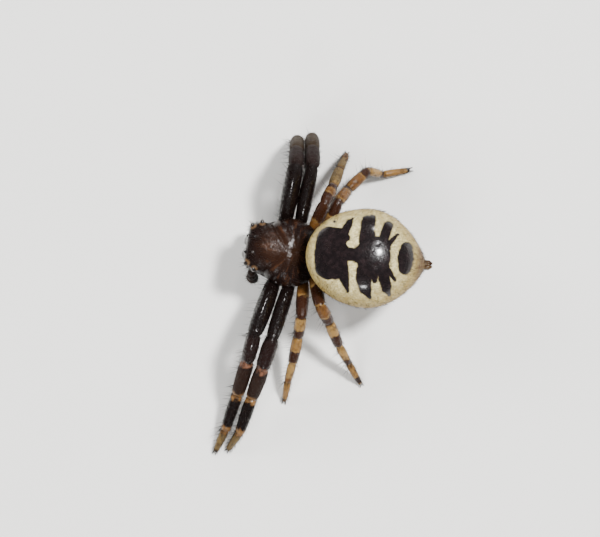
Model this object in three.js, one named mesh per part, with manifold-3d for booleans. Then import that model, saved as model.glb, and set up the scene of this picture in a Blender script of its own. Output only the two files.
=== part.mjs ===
// A crab spider at life size, standing on its eight feet. The two long front pairs of legs are held
// out to the sides, stretched on the left and folded under on the right.
// Millimetres, +Z up. It faces -Y, its left side is +X, and the floor is Z = 0.
// Everything is placed from the middle of the sternum, and the last lines move the whole
// spider so that the origin lies under the middle of its box.
import * as THREE from 'three';
import { mergeVertices } from 'three/addons/utils/BufferGeometryUtils.js';
import Module from 'manifold-3d';

const wasm = await Module();
wasm.setup();

// Clearance kept between two pieces that touch
const GAP = 0.04;

// Carapace: the shield over head and thorax
const CARAPACE = {
  front: 1.50,
  rear: 1.36,
  headHalfWidth: 0.99,
  thoraxHalfWidth: 1.35,
  rimHeight: 2.28,
  domeHeight: 0.86,
  keelDepth: 0.16,
  frontCornering: 4.8,
  rearCornering: 2.6,
};

// Sternum, mouthparts' base and the soft ring between the coxae, under the carapace
const STERNUM = { front: 1.22, rear: 1.20, halfWidth: 0.66, middle: 1.98, up: 0.40, down: 0.56 };

// Abdomen: an egg that is blunt in front and runs to a cone behind
const ABDOMEN = {
  centreBack: 3.26,
  centreSide: -0.20,
  yaw: 5,
  frontLength: 2.41,
  rearLength: 2.24,
  halfWidth: 1.92,
  middle: 3.24,
  up: 1.40,
  down: 1.36,
  frontRise: 0.16,
  rearDrop: 0.42,
};

const PEDICEL = { radius: 0.19, start: [0, 1.05, 2.02], end: [0, 2.10, 2.66] };
const SPINNERET = { length: 0.20, radius: 0.10, tipRadius: 0.06, spread: 0.11, stemRadius: 0.24 };

// Chelicerae: two stout columns under the face, each with a short fang
const CHELICERA = {
  side: 0.275,
  top: [1.16, 2.42],
  foot: [1.46, 1.50],
  topRadius: 0.25,
  footRadius: 0.15,
  fangLength: 0.30,
  fangRadius: 0.06,
};

// Palps: short feelers beside the mouth, with clubbed tips. Points are forward, side, height.
// The left one is bent out beside the head, and the right one is drawn in under it.
const PALP_RADII = [0.13, 0.17, 0.18, 0.22, 0.16];
const PALP_JOINTS = {
  left: [[0.98, 0.50, 1.72], [1.08, 0.88, 1.92], [1.11, 1.01, 1.76], [1.08, 1.07, 1.50], [1.02, 1.08, 1.06]],
  right: [[0.98, 0.50, 1.72], [1.14, 0.80, 1.88], [1.22, 0.85, 1.70], [1.26, 0.83, 1.44], [1.27, 0.78, 1.00]],
};

// Eyes: forward place, angle round the carapace from its side to its top, lens radius and mound radius
const EYES = {
  front_median: { forward: 1.44, angle: 66, radius: 0.062, mound: 0.0 },
  front_lateral: { forward: 1.30, angle: 40, radius: 0.085, mound: 0.15 },
  rear_median: { forward: 1.14, angle: 74, radius: 0.060, mound: 0.0 },
  rear_lateral: { forward: 1.00, angle: 32, radius: 0.085, mound: 0.16 },
};

// Leg sizes by pair: lengths of femur, patella, tibia, metatarsus and tarsus, then their half widths.
// coxa holds the forward and side place of its inner end, hip that of its outer end, and shell is
// the finish from the coxa to the patella.
const HIP_HEIGHT = 1.92;
const COXA_HEIGHT = 1.80;
const FOOT_HEIGHT = 0.10;
const FOOT_OVERRUN = 0.10;
const LEG_SIDES = 10;
const PAIRS = {
  1: {
    coxa: [0.30, 0.42], hip: [0.19, 1.12], coxaRadii: [0.20, 0.28], shell: 'dark',
    lengths: [2.60, 1.20, 1.75, 1.55, 0.90], radii: [0.34, 0.30, 0.29, 0.24, 0.165],
  },
  2: {
    coxa: [-0.22, 0.46], hip: [-0.43, 1.12], coxaRadii: [0.19, 0.27], shell: 'dark',
    lengths: [2.55, 1.25, 1.70, 1.50, 0.90], radii: [0.29, 0.31, 0.29, 0.24, 0.16],
  },
  3: {
    coxa: [-0.62, 0.42], hip: [-0.93, 0.93], coxaRadii: [0.16, 0.22], shell: 'brown',
    lengths: [1.63, 0.95, 1.17, 0.92, 0.92], radii: [0.25, 0.23, 0.22, 0.17, 0.14],
  },
  4: {
    coxa: [-0.92, 0.24], hip: [-1.28, 0.62], coxaRadii: [0.16, 0.22], shell: 'brown',
    lengths: [1.78, 0.97, 1.22, 1.02, 1.06], radii: [0.25, 0.24, 0.22, 0.17, 0.14],
  },
};

// The pose: for each piece of a leg its turn back from straight out, and its rise, in degrees.
// The tarsus has only a turn, and its slope is worked out so that the foot reaches the floor.
const POSE = {
  left_1: { femur: [-9, 26], patella: [-5, -33], tibia: [-9, -46], metatarsus: [-10, -23], tarsus: [-16] },
  left_2: { femur: [-7, 23], patella: [-8, -18], tibia: [-13, -51], metatarsus: [-10, -20], tarsus: [-28] },
  left_3: { femur: [7, 26], patella: [0, -38], tibia: [-3, -35], metatarsus: [-6, -42], tarsus: [-1] },
  left_4: { femur: [20, 40], patella: [42, -46], tibia: [35, -43], metatarsus: [42, -45], tarsus: [43] },
  right_1: { femur: [2, 34], patella: [-7, -54], tibia: [-8, -69], metatarsus: [175, -18], tarsus: [180] },
  right_2: { femur: [2, 29], patella: [-8, -50], tibia: [-12, -66], metatarsus: [174, -10], tarsus: [180] },
  right_3: { femur: [15, 45], patella: [14, -31], tibia: [9, -47], metatarsus: [10, -56], tarsus: [6] },
  right_4: { femur: [15, 16], patella: [24, -44], tibia: [34, -24], metatarsus: [84, -56], tarsus: [68] },
};
const LEG_PIECES = ['femur', 'patella', 'tibia', 'metatarsus', 'tarsus'];

// Surfaces: colour, roughness and metalness of each kind of part
const FINISHES = {
  carapace: new THREE.MeshStandardMaterial({ color: 0x2a1512, roughness: 0.32, metalness: 0 }),
  abdomen: new THREE.MeshStandardMaterial({ color: 0xd9cfa4, roughness: 0.48, metalness: 0 }),
  eye: new THREE.MeshStandardMaterial({ color: 0x120d0c, roughness: 0.08, metalness: 0 }),
  dark: new THREE.MeshStandardMaterial({ color: 0x1c1110, roughness: 0.34, metalness: 0 }),
  brown: new THREE.MeshStandardMaterial({ color: 0x4a2a18, roughness: 0.40, metalness: 0 }),
  tan: new THREE.MeshStandardMaterial({ color: 0xa8793f, roughness: 0.45, metalness: 0 }),
  soft: new THREE.MeshStandardMaterial({ color: 0x8a6a4a, roughness: 0.55, metalness: 0 }),
};

const radians = THREE.MathUtils.degToRad;
const UP_AXIS = new THREE.Vector3(0, 1, 0);
const group = new THREE.Group();

function toSolid(geometry) {
  const bare = geometry.clone();
  bare.deleteAttribute('normal');
  bare.deleteAttribute('uv');
  const merged = mergeVertices(bare, 1e-5);
  const source = merged.index.array;
  const triangles = [];
  for (let i = 0; i < source.length; i += 3) {
    const [a, b, c] = [source[i], source[i + 1], source[i + 2]];
    if (a !== b && b !== c && c !== a) {
      triangles.push(a, b, c);
    }
  }
  const mesh = new wasm.Mesh({
    numProp: 3,
    vertProperties: new Float32Array(merged.attributes.position.array),
    triVerts: new Uint32Array(triangles),
  });
  return new wasm.Manifold(mesh);
}

function toGeometry(solid) {
  const mesh = solid.getMesh();
  const geometry = new THREE.BufferGeometry();
  geometry.setAttribute('position', new THREE.BufferAttribute(mesh.vertProperties.slice(), 3));
  geometry.setIndex(new THREE.BufferAttribute(mesh.triVerts.slice(), 1));
  geometry.computeVertexNormals();
  return geometry;
}

// Keeps the largest closed body of a cut solid
function largestBody(solid) {
  const bodies = solid.decompose();
  return bodies.reduce((best, body) => (body.volume() > best.volume() ? body : best));
}

// Keeps what lies behind the plane through a point
function keepBehind(solid, point, normal) {
  const reach = 30;
  const block = new THREE.BoxGeometry(reach, reach, reach);
  block.translate(0, 0, -reach / 2);
  const turn = new THREE.Quaternion().setFromUnitVectors(new THREE.Vector3(0, 0, 1), normal);
  block.applyQuaternion(turn);
  block.translate(point.x, point.y, point.z);
  return solid.intersect(toSolid(block));
}

// A point given as forward, side and height, on the left (side 1) or right (side -1)
function place([forward, sideways, height], side = 1) {
  return new THREE.Vector3(side * sideways, -forward, height);
}

// A round column from one point to another, with its half widths at even steps along it,
// run on past either end by a straight length
function column(start, end, radii, before = 0, after = 0) {
  const length = start.distanceTo(end);
  const steps = radii.length - 1;
  const profile = [new THREE.Vector2(0, -before)];
  if (before > 0) {
    profile.push(new THREE.Vector2(radii[0], -before));
  }
  radii.forEach((radius, i) => profile.push(new THREE.Vector2(radius, (length * i) / steps)));
  if (after > 0) {
    profile.push(new THREE.Vector2(radii[steps], length + after));
  }
  profile.push(new THREE.Vector2(0, length + after));
  const geometry = new THREE.LatheGeometry(profile, LEG_SIDES);
  const along = end.clone().sub(start).normalize();
  geometry.applyQuaternion(new THREE.Quaternion().setFromUnitVectors(UP_AXIS, along));
  geometry.translate(start.x, start.y, start.z);
  return toSolid(geometry);
}

// A bent column through several points, mitred at each bend and joined
function bentColumn(points, radii) {
  const ways = points.slice(1).map((point, i) => point.clone().sub(points[i]).normalize());
  const planes = ways.slice(1).map((way, i) => way.clone().add(ways[i]).normalize());
  const lap = 0.01;
  const last = ways.length - 1;
  const lengths = ways.map((way, i) => {
    const before = i > 0 ? radii[i] : 0;
    const after = i < last ? radii[i + 1] : 0;
    let solid = column(points[i], points[i + 1], [radii[i], radii[i + 1]], before, after);
    if (i > 0) {
      const near = points[i].clone().addScaledVector(planes[i - 1], -lap);
      solid = keepBehind(solid, near, planes[i - 1].clone().negate());
    }
    if (i < last) {
      const far = points[i + 1].clone().addScaledVector(planes[i], lap);
      solid = keepBehind(solid, far, planes[i]);
    }
    return solid;
  });
  return lengths.reduce((whole, solid) => whole.add(solid));
}

function ball(centre, radius, across = 8, down = 6) {
  const geometry = new THREE.SphereGeometry(radius, across, down);
  geometry.translate(centre.x, centre.y, centre.z);
  return toSolid(geometry);
}

// A rounded body swept from a unit ball. The ball's axis becomes the body's long axis, and outline(s)
// gives the half width, the reach up and down and the middle height at s, from 1 in front to -1 behind.
function sweptBody(outline, across, rings, swell = 0) {
  const geometry = mergeVertices(bareSphere(across, rings), 1e-5);
  const position = geometry.attributes.position;
  for (let i = 0; i < position.count; i += 1) {
    const s = THREE.MathUtils.clamp(position.getY(i), -1, 1);
    const angle = Math.atan2(position.getZ(i), -position.getX(i));
    const isPole = Math.abs(s) > 0.99999;
    const point = outline(s, angle, swell, isPole);
    position.setXYZ(i, point.x, point.y, point.z);
  }
  return toSolid(geometry);
}

function bareSphere(across, rings) {
  const geometry = new THREE.SphereGeometry(1, across, rings);
  geometry.deleteAttribute('normal');
  geometry.deleteAttribute('uv');
  return geometry;
}

// A point on a section whose corners are squarer than an ellipse's where power is over 2
function sectionPoint(angle, halfWidth, up, down, power) {
  const across = Math.cos(angle);
  const rise = Math.sin(angle);
  const reach = rise > 0 ? up : down;
  return {
    across: halfWidth * Math.sign(across) * Math.abs(across) ** (2 / power),
    height: reach * Math.sign(rise) * Math.abs(rise) ** (2 / power),
  };
}

// Carapace: square in front at the eyes, widest over the second legs, falling steeply behind
function carapacePoint(s, angle, swell, isPole) {
  const { front, rear, headHalfWidth, thoraxHalfWidth, rimHeight, domeHeight, keelDepth } = CARAPACE;
  const cornering = s > 0 ? CARAPACE.frontCornering : CARAPACE.rearCornering;
  const middle = (front - rear) / 2;
  const halfLength = (front + rear) / 2;
  const forward = middle + s * (halfLength + swell);
  const closing = isPole ? 0 : (1 - Math.abs(s) ** cornering) ** (1 / cornering);
  const towardHead = THREE.MathUtils.smoothstep(forward, -0.25, 1.05);
  const halfWidth = THREE.MathUtils.lerp(thoraxHalfWidth, headHalfWidth, towardHead);
  const slope = THREE.MathUtils.smoothstep(-forward, 0.15, 1.45);
  const dome = domeHeight * (1 - 0.62 * slope) + 0.04 * towardHead;
  const section = sectionPoint(
    angle,
    (halfWidth + swell) * closing,
    (dome + swell) * closing,
    (keelDepth + swell) * closing,
    2.25,
  );
  return new THREE.Vector3(section.across, -forward, rimHeight + section.height);
}

function sternumPoint(s, angle, swell, isPole) {
  const { front, rear, halfWidth, middle, up, down } = STERNUM;
  const forward = (front - rear) / 2 + s * ((front + rear) / 2 + swell);
  const closing = isPole ? 0 : (1 - Math.abs(s) ** 2.4) ** (1 / 2.4);
  const section = sectionPoint(
    angle,
    (halfWidth + swell) * closing,
    (up + swell) * closing,
    (down + swell) * closing,
    2.4,
  );
  return new THREE.Vector3(section.across, -forward, middle + section.height);
}

// Abdomen: an ellipsoid in front of its widest place, and nearly a cone behind it
function abdomenPoint(s, angle, swell, isPole) {
  const { frontLength, rearLength, halfWidth, middle, up, down, frontRise, rearDrop } = ABDOMEN;
  const inFront = s > 0;
  const away = Math.abs(s);
  const round = isPole ? 0 : Math.sqrt(1 - away ** 2);
  const coneWide = isPole ? 0 : (1 - away ** 1.9) ** 0.75;
  const coneHigh = isPole ? 0 : (1 - away ** 2.1) ** 0.62;
  const widthShare = inFront ? round : coneWide;
  const heightShare = inFront ? round : coneHigh;
  const length = (inFront ? frontLength : rearLength) + swell;
  const lean = inFront ? frontRise * away ** 2 : -rearDrop * away ** 2;
  const section = sectionPoint(
    angle,
    (halfWidth + swell) * widthShare,
    (up + swell) * heightShare,
    (down + swell) * heightShare,
    2,
  );
  const point = new THREE.Vector3(section.across, -s * length, middle + lean + section.height);
  return placeOnAbdomen(point);
}

// Turns a point of the abdomen's own frame by its yaw and sets it behind the carapace
function placeOnAbdomen(point) {
  point.applyAxisAngle(new THREE.Vector3(0, 0, 1), radians(ABDOMEN.yaw));
  point.x += ABDOMEN.centreSide;
  point.y += ABDOMEN.centreBack;
  return point;
}

// A place on the carapace's skin and the way out of it, from a forward place and a section angle
function onCarapace(forward, angle, side) {
  const middle = (CARAPACE.front - CARAPACE.rear) / 2;
  const s = (forward - middle) / ((CARAPACE.front + CARAPACE.rear) / 2);
  const turn = side > 0 ? radians(angle) : Math.PI - radians(angle);
  const step = 0.01;
  const at = carapacePoint(s, turn, 0, false);
  const round = carapacePoint(s, turn + step, 0, false).sub(at);
  const along = carapacePoint(s + step, turn, 0, false).sub(at);
  const outward = new THREE.Vector3().crossVectors(along, round).normalize();
  if (outward.dot(at.clone().sub(new THREE.Vector3(0, 0, CARAPACE.rimHeight))) < 0) {
    outward.negate();
  }
  return { at, outward };
}

// The mounds that carry the corner eyes, and the place and way out of each lens
function eyePlaces() {
  const places = [];
  for (const [name, eye] of Object.entries(EYES)) {
    for (const side of [1, -1]) {
      const { at, outward } = onCarapace(eye.forward, eye.angle, side);
      const sideName = side > 0 ? 'left' : 'right';
      const lens = at.clone().addScaledVector(outward, eye.mound * 0.8);
      places.push({ name: `eye_${name}_${sideName}`, at, lens, radius: eye.radius, mound: eye.mound });
    }
  }
  return places;
}

function cephalothorax(eyes, swell = 0) {
  let body = sweptBody(carapacePoint, 36, 22, swell);
  body = body.add(sweptBody(sternumPoint, 24, 12, swell));
  for (const eye of eyes) {
    if (eye.mound > 0) {
      body = body.add(ball(eye.at, eye.mound + swell));
    }
  }
  return body;
}

// Adds a solid to the spider as a named mesh
function addPiece(name, solid, finish) {
  const mesh = new THREE.Mesh(toGeometry(largestBody(solid)), FINISHES[finish]);
  mesh.name = name;
  group.add(mesh);
}

// Eyes: lenses that bulge from the skin
function addEyes(eyes, headCutter) {
  for (const eye of eyes) {
    addPiece(eye.name, ball(eye.lens, eye.radius).subtract(headCutter), 'eye');
  }
}

function addAbdomen() {
  addPiece('abdomen', sweptBody(abdomenPoint, 40, 26), 'abdomen');
}

// Pedicel: the narrow waist, cut to the skins that it joins
function addPedicel(headCutter, abdomenCutter) {
  const start = new THREE.Vector3(...PEDICEL.start);
  const end = new THREE.Vector3(...PEDICEL.end);
  const waist = column(start, end, [PEDICEL.radius, PEDICEL.radius]);
  addPiece('pedicel', waist.subtract(headCutter).subtract(abdomenCutter), 'soft');
}

// Spinnerets: a short stem with two pairs of fingers at the abdomen's tip
function addSpinnerets(abdomenCutter) {
  const { length, radius, tipRadius, spread, stemRadius } = SPINNERET;
  const tip = ABDOMEN.rearLength;
  const low = ABDOMEN.middle - ABDOMEN.rearDrop;
  const at = (side, back, height) => placeOnAbdomen(new THREE.Vector3(side, back, low + height));
  let cluster = column(at(0, tip - 0.35, 0.02), at(0, tip + 0.10, 0), [stemRadius, stemRadius * 0.86]);
  for (const side of [1, -1]) {
    for (const height of [0.6, -0.6]) {
      const root = at(side * spread, tip - 0.05, height * spread);
      const end = at(side * spread * 0.8, tip + length, height * spread * 0.7);
      cluster = cluster.add(column(root, end, [radius, radius, tipRadius]));
    }
  }
  addPiece('spinnerets', cluster.subtract(abdomenCutter), 'brown');
}

function addChelicera(side, headCutter) {
  const { top, foot, topRadius, footRadius, fangLength, fangRadius } = CHELICERA;
  const root = place([top[0], CHELICERA.side, top[1]], side);
  const end = place([foot[0], CHELICERA.side - 0.03, foot[1]], side);
  const fangRoot = end.clone().add(new THREE.Vector3(0, 0, 0.06));
  const fangTip = end.clone().add(new THREE.Vector3(-side * fangLength * 0.35, 0.08, -fangLength * 0.8));
  const basal = column(root, end, [topRadius, topRadius, topRadius * 0.92, footRadius]);
  const fang = column(fangRoot, fangTip, [fangRadius, fangRadius * 0.8, fangRadius * 0.25]);
  const sideName = side > 0 ? 'left' : 'right';
  addPiece(`chelicera_${sideName}`, basal.add(fang).subtract(headCutter), 'dark');
}

function addPalp(side, headCutter) {
  const sideName = side > 0 ? 'left' : 'right';
  const palp = bentColumn(PALP_JOINTS[sideName].map((joint) => place(joint, side)), PALP_RADII);
  addPiece(`palp_${sideName}`, palp.subtract(headCutter), 'dark');
}

// The way a piece of a leg points, from its turn back and its rise
function direction(side, turn, rise) {
  const flat = Math.cos(radians(rise));
  return new THREE.Vector3(
    side * flat * Math.cos(radians(turn)),
    flat * Math.sin(radians(turn)),
    Math.sin(radians(rise)),
  );
}

// The joints of a leg from its hip to its foot
function legJoints(side, pair, pose) {
  const joints = [place([...pair.hip, HIP_HEIGHT], side)];
  LEG_PIECES.forEach((piece, i) => {
    const last = joints[i];
    const length = pair.lengths[i];
    const slope = -THREE.MathUtils.radToDeg(Math.asin((last.z - FOOT_HEIGHT) / length));
    const [turn, rise = slope] = pose[piece];
    joints.push(last.clone().addScaledVector(direction(side, turn, rise), length));
  });
  return joints;
}

// Half widths along each piece of a leg, as a share of its fullest, from its near to its far end
const FORMS = {
  femur: [0.80, 0.97, 1.0, 0.98, 0.88],
  patella: [0.90, 1.0, 0.86],
  tibia: [0.84, 0.99, 0.96, 0.84],
  metatarsus: [0.92, 1.0, 0.84],
  tarsus: [1.0, 0.98, 0.72],
};

// One leg. Its pieces are cut by the planes that halve each bend, so that they meet face to face.
function addLeg(name, side, pair, headCutter) {
  const joints = legJoints(side, pair, POSE[name]);
  const inner = place([...pair.coxa, COXA_HEIGHT], side);
  const chain = [inner, ...joints];
  const ways = chain.slice(1).map((joint, i) => joint.clone().sub(chain[i]).normalize());
  const planes = ways.slice(1).map((way, i) => way.clone().add(ways[i]).normalize());
  const overrun = (i) => pair.radii[Math.max(i - 1, 0)] * 1.1;

  const coxaColumn = column(chain[0], chain[1], pair.coxaRadii, 0, overrun(0));
  const coxaEnd = chain[1].clone().addScaledVector(planes[0], -GAP / 2);
  const coxa = keepBehind(coxaColumn, coxaEnd, planes[0]).subtract(headCutter);
  addPiece(`${name}_coxa`, coxa, pair.shell);

  const cutPiece = (piece, i) => {
    const isLast = piece === 'tarsus';
    const isFoot = isLast || piece === 'metatarsus';
    const radii = FORMS[piece].map((share) => share * pair.radii[i]);
    const after = isLast ? FOOT_OVERRUN : overrun(i + 1);
    const solid = column(chain[i + 1], chain[i + 2], radii, overrun(i), after);
    const nearGap = isLast ? -GAP / 4 : GAP / 2;
    const near = chain[i + 1].clone().addScaledVector(planes[i], nearGap);
    const shortened = keepBehind(solid, near, planes[i].clone().negate());
    if (isLast) {
      return keepBehind(shortened, new THREE.Vector3(), new THREE.Vector3(0, 0, -1));
    }
    const farGap = isFoot ? GAP / 4 : -GAP / 2;
    const far = chain[i + 2].clone().addScaledVector(planes[i + 1], farGap);
    return keepBehind(shortened, far, planes[i + 1]);
  };
  const [femur, patella, tibia, metatarsus, tarsus] = LEG_PIECES.map(cutPiece);
  addPiece(`${name}_femur`, femur.subtract(headCutter), pair.shell);
  addPiece(`${name}_patella`, patella, pair.shell);
  addPiece(`${name}_tibia`, tibia, 'brown');
  addPiece(`${name}_foot`, metatarsus.add(tarsus), 'tan');
}

const eyes = eyePlaces();
const headCutter = cephalothorax(eyes, GAP);
const abdomenCutter = sweptBody(abdomenPoint, 40, 26, GAP);

addPiece('cephalothorax', cephalothorax(eyes), 'carapace');
addEyes(eyes, headCutter);
addAbdomen();
addPedicel(headCutter, abdomenCutter);
addSpinnerets(abdomenCutter);
for (const side of [1, -1]) {
  addChelicera(side, headCutter);
  addPalp(side, headCutter);
}
for (const name of Object.keys(POSE)) {
  const [sideName, number] = name.split('_');
  addLeg(name, sideName === 'left' ? 1 : -1, PAIRS[number], headCutter);
}

// The origin goes under the middle of the spider's box, on the floor
const box = new THREE.Box3().setFromObject(group);
const middle = box.getCenter(new THREE.Vector3());
group.position.set(-middle.x, -middle.y, 0);
group.updateMatrixWorld(true);

export default group;
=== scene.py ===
"""A life-size crab spider with a pale, black-patterned abdomen, dressed over its solid frame.

Sizes are in millimetres, measured from the middle of the sternum. The spider faces -Y and its left
side is +X. Every mesh is moved onto the frame and made metres as it is finished.
"""

import logging
import math
import random
from dataclasses import dataclass, field
from enum import Enum
from functools import cache, reduce
from typing import Callable, Sequence, Union

import bmesh
import bpy
import numpy as np
from mathutils import Matrix, Vector


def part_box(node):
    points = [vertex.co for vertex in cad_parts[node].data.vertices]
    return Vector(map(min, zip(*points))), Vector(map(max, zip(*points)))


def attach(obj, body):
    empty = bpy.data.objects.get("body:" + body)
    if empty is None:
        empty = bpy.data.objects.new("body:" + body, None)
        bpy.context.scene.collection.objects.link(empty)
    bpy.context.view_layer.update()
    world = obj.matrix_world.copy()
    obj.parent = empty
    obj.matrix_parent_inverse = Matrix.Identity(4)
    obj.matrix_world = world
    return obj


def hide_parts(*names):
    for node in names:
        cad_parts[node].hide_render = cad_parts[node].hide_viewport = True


LOG = logging.getLogger("crab_spider")
MM = 0.001
BODY = "root"
UP = Vector((0.0, 0.0, 1.0))
Point = tuple[float, float, float]

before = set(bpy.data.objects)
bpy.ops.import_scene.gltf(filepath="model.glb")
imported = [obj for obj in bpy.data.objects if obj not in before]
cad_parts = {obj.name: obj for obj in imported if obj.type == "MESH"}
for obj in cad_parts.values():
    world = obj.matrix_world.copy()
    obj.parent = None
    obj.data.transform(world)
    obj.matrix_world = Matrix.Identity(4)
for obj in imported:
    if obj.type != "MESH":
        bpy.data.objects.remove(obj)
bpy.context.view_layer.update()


class Side(Enum):
    """The two sides of the spider, as the sign of X."""

    LEFT = 1
    RIGHT = -1

    @property
    def word(self) -> str:
        """The side's name in lower case."""
        return self.name.lower()


@dataclass(frozen=True)
class CarapaceSizes:
    """The shield over head and thorax, as reaches from the middle of the sternum."""

    front: float = 1.50
    rear: float = 1.36
    head_half_width: float = 0.99
    thorax_half_width: float = 1.35
    rim_height: float = 2.28
    dome_height: float = 0.86
    keel_depth: float = 0.16
    front_cornering: float = 4.8
    rear_cornering: float = 2.6
    squareness: float = 2.25
    rear_flattening: float = 0.62
    head_lift: float = 0.04

    @property
    def middle(self) -> float:
        """How far forward the middle of the shield lies."""
        return (self.front - self.rear) / 2

    @property
    def half_length(self) -> float:
        """Half the length of the shield."""
        return (self.front + self.rear) / 2


@dataclass(frozen=True)
class AbdomenSizes:
    """The abdomen: blunt in front, and nearly a cone behind its widest place."""

    centre_back: float = 3.26
    centre_side: float = -0.20
    yaw: float = 5.0
    front_length: float = 2.41
    rear_length: float = 2.24
    half_width: float = 1.92
    middle: float = 3.24
    up: float = 1.40
    down: float = 1.36
    front_rise: float = 0.16
    rear_drop: float = 0.42
    rear_narrowing: tuple[float, float] = (1.9, 0.75)
    rear_lowering: tuple[float, float] = (2.1, 0.62)


CARAPACE = CarapaceSizes()
ABDOMEN = AbdomenSizes()


def frame_shift() -> Vector:
    """Finds where the middle of the sternum lies in the frame.

    Returns:
        The floor point under the sternum, in millimetres.
    """
    low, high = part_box("cephalothorax")
    across = (low.x + high.x) / 2 / MM
    along = low.y / MM + CARAPACE.front
    return Vector((across, along, 0.0))


SHIFT = frame_shift()


def smooth(value: float, low: float, high: float) -> float:
    """Rises smoothly from 0 at low to 1 at high."""
    share = min(1.0, max(0.0, (value - low) / (high - low)))
    return share * share * (3 - 2 * share)


def bell(distance: float, width: float) -> float:
    """A rounded bump of height 1 that fades over about twice its width."""
    return math.exp(-((distance / width) ** 2))


def onto_frame(point: Vector) -> Vector:
    """Moves a point in millimetres from the sternum's middle to the frame, in metres."""
    return (point + SHIFT) * MM


class Socket:
    """A shader value that takes part in Python arithmetic."""

    def __init__(self, shader: "Shader", link: bpy.types.NodeSocket) -> None:
        """Wraps one output of a node.

        Args:
            shader: The shader that the node belongs to.
            link: The output socket.
        """
        self.shader = shader
        self.link = link

    def math(self, operation: str, *others: "Value") -> "Socket":
        """Adds one Math node.

        Args:
            operation: The node's operation.
            others: The second and third values.

        Returns:
            The node's value.
        """
        return self.shader.node("ShaderNodeMath", {"operation": operation}, [self, *others])

    def __add__(self, other: "Value") -> "Socket":
        """self + other."""
        return self.math("ADD", other)

    __radd__ = __add__

    def __sub__(self, other: "Value") -> "Socket":
        """self - other."""
        return self.math("SUBTRACT", other)

    def __rsub__(self, other: "Value") -> "Socket":
        """other - self."""
        return (self * -1.0) + other

    def __mul__(self, other: "Value") -> "Socket":
        """self * other."""
        return self.math("MULTIPLY", other)

    __rmul__ = __mul__

    def __truediv__(self, other: "Value") -> "Socket":
        """self / other."""
        return self.math("DIVIDE", other)

    def __abs__(self) -> "Socket":
        """The value without its sign."""
        return self.math("ABSOLUTE")

    def least(self, other: "Value") -> "Socket":
        """The smaller of two values."""
        return self.math("MINIMUM", other)

    def most(self, other: "Value") -> "Socket":
        """The larger of two values."""
        return self.math("MAXIMUM", other)

    def ramp(self, low: float, high: float) -> "Socket":
        """Rises smoothly from 0 at low to 1 at high, or falls where low is the larger.

        Args:
            low: Where it is 0.
            high: Where it is 1.

        Returns:
            The share from 0 to 1.
        """
        settings = {"interpolation_type": "SMOOTHSTEP"}
        if low < high:
            return self.shader.node("ShaderNodeMapRange", settings, [self, low, high])
        return 1.0 - self.ramp(high, low)


Value = Union[Socket, float]
Colour = tuple[float, float, float]
Tint = Union[Socket, Colour]


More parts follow.
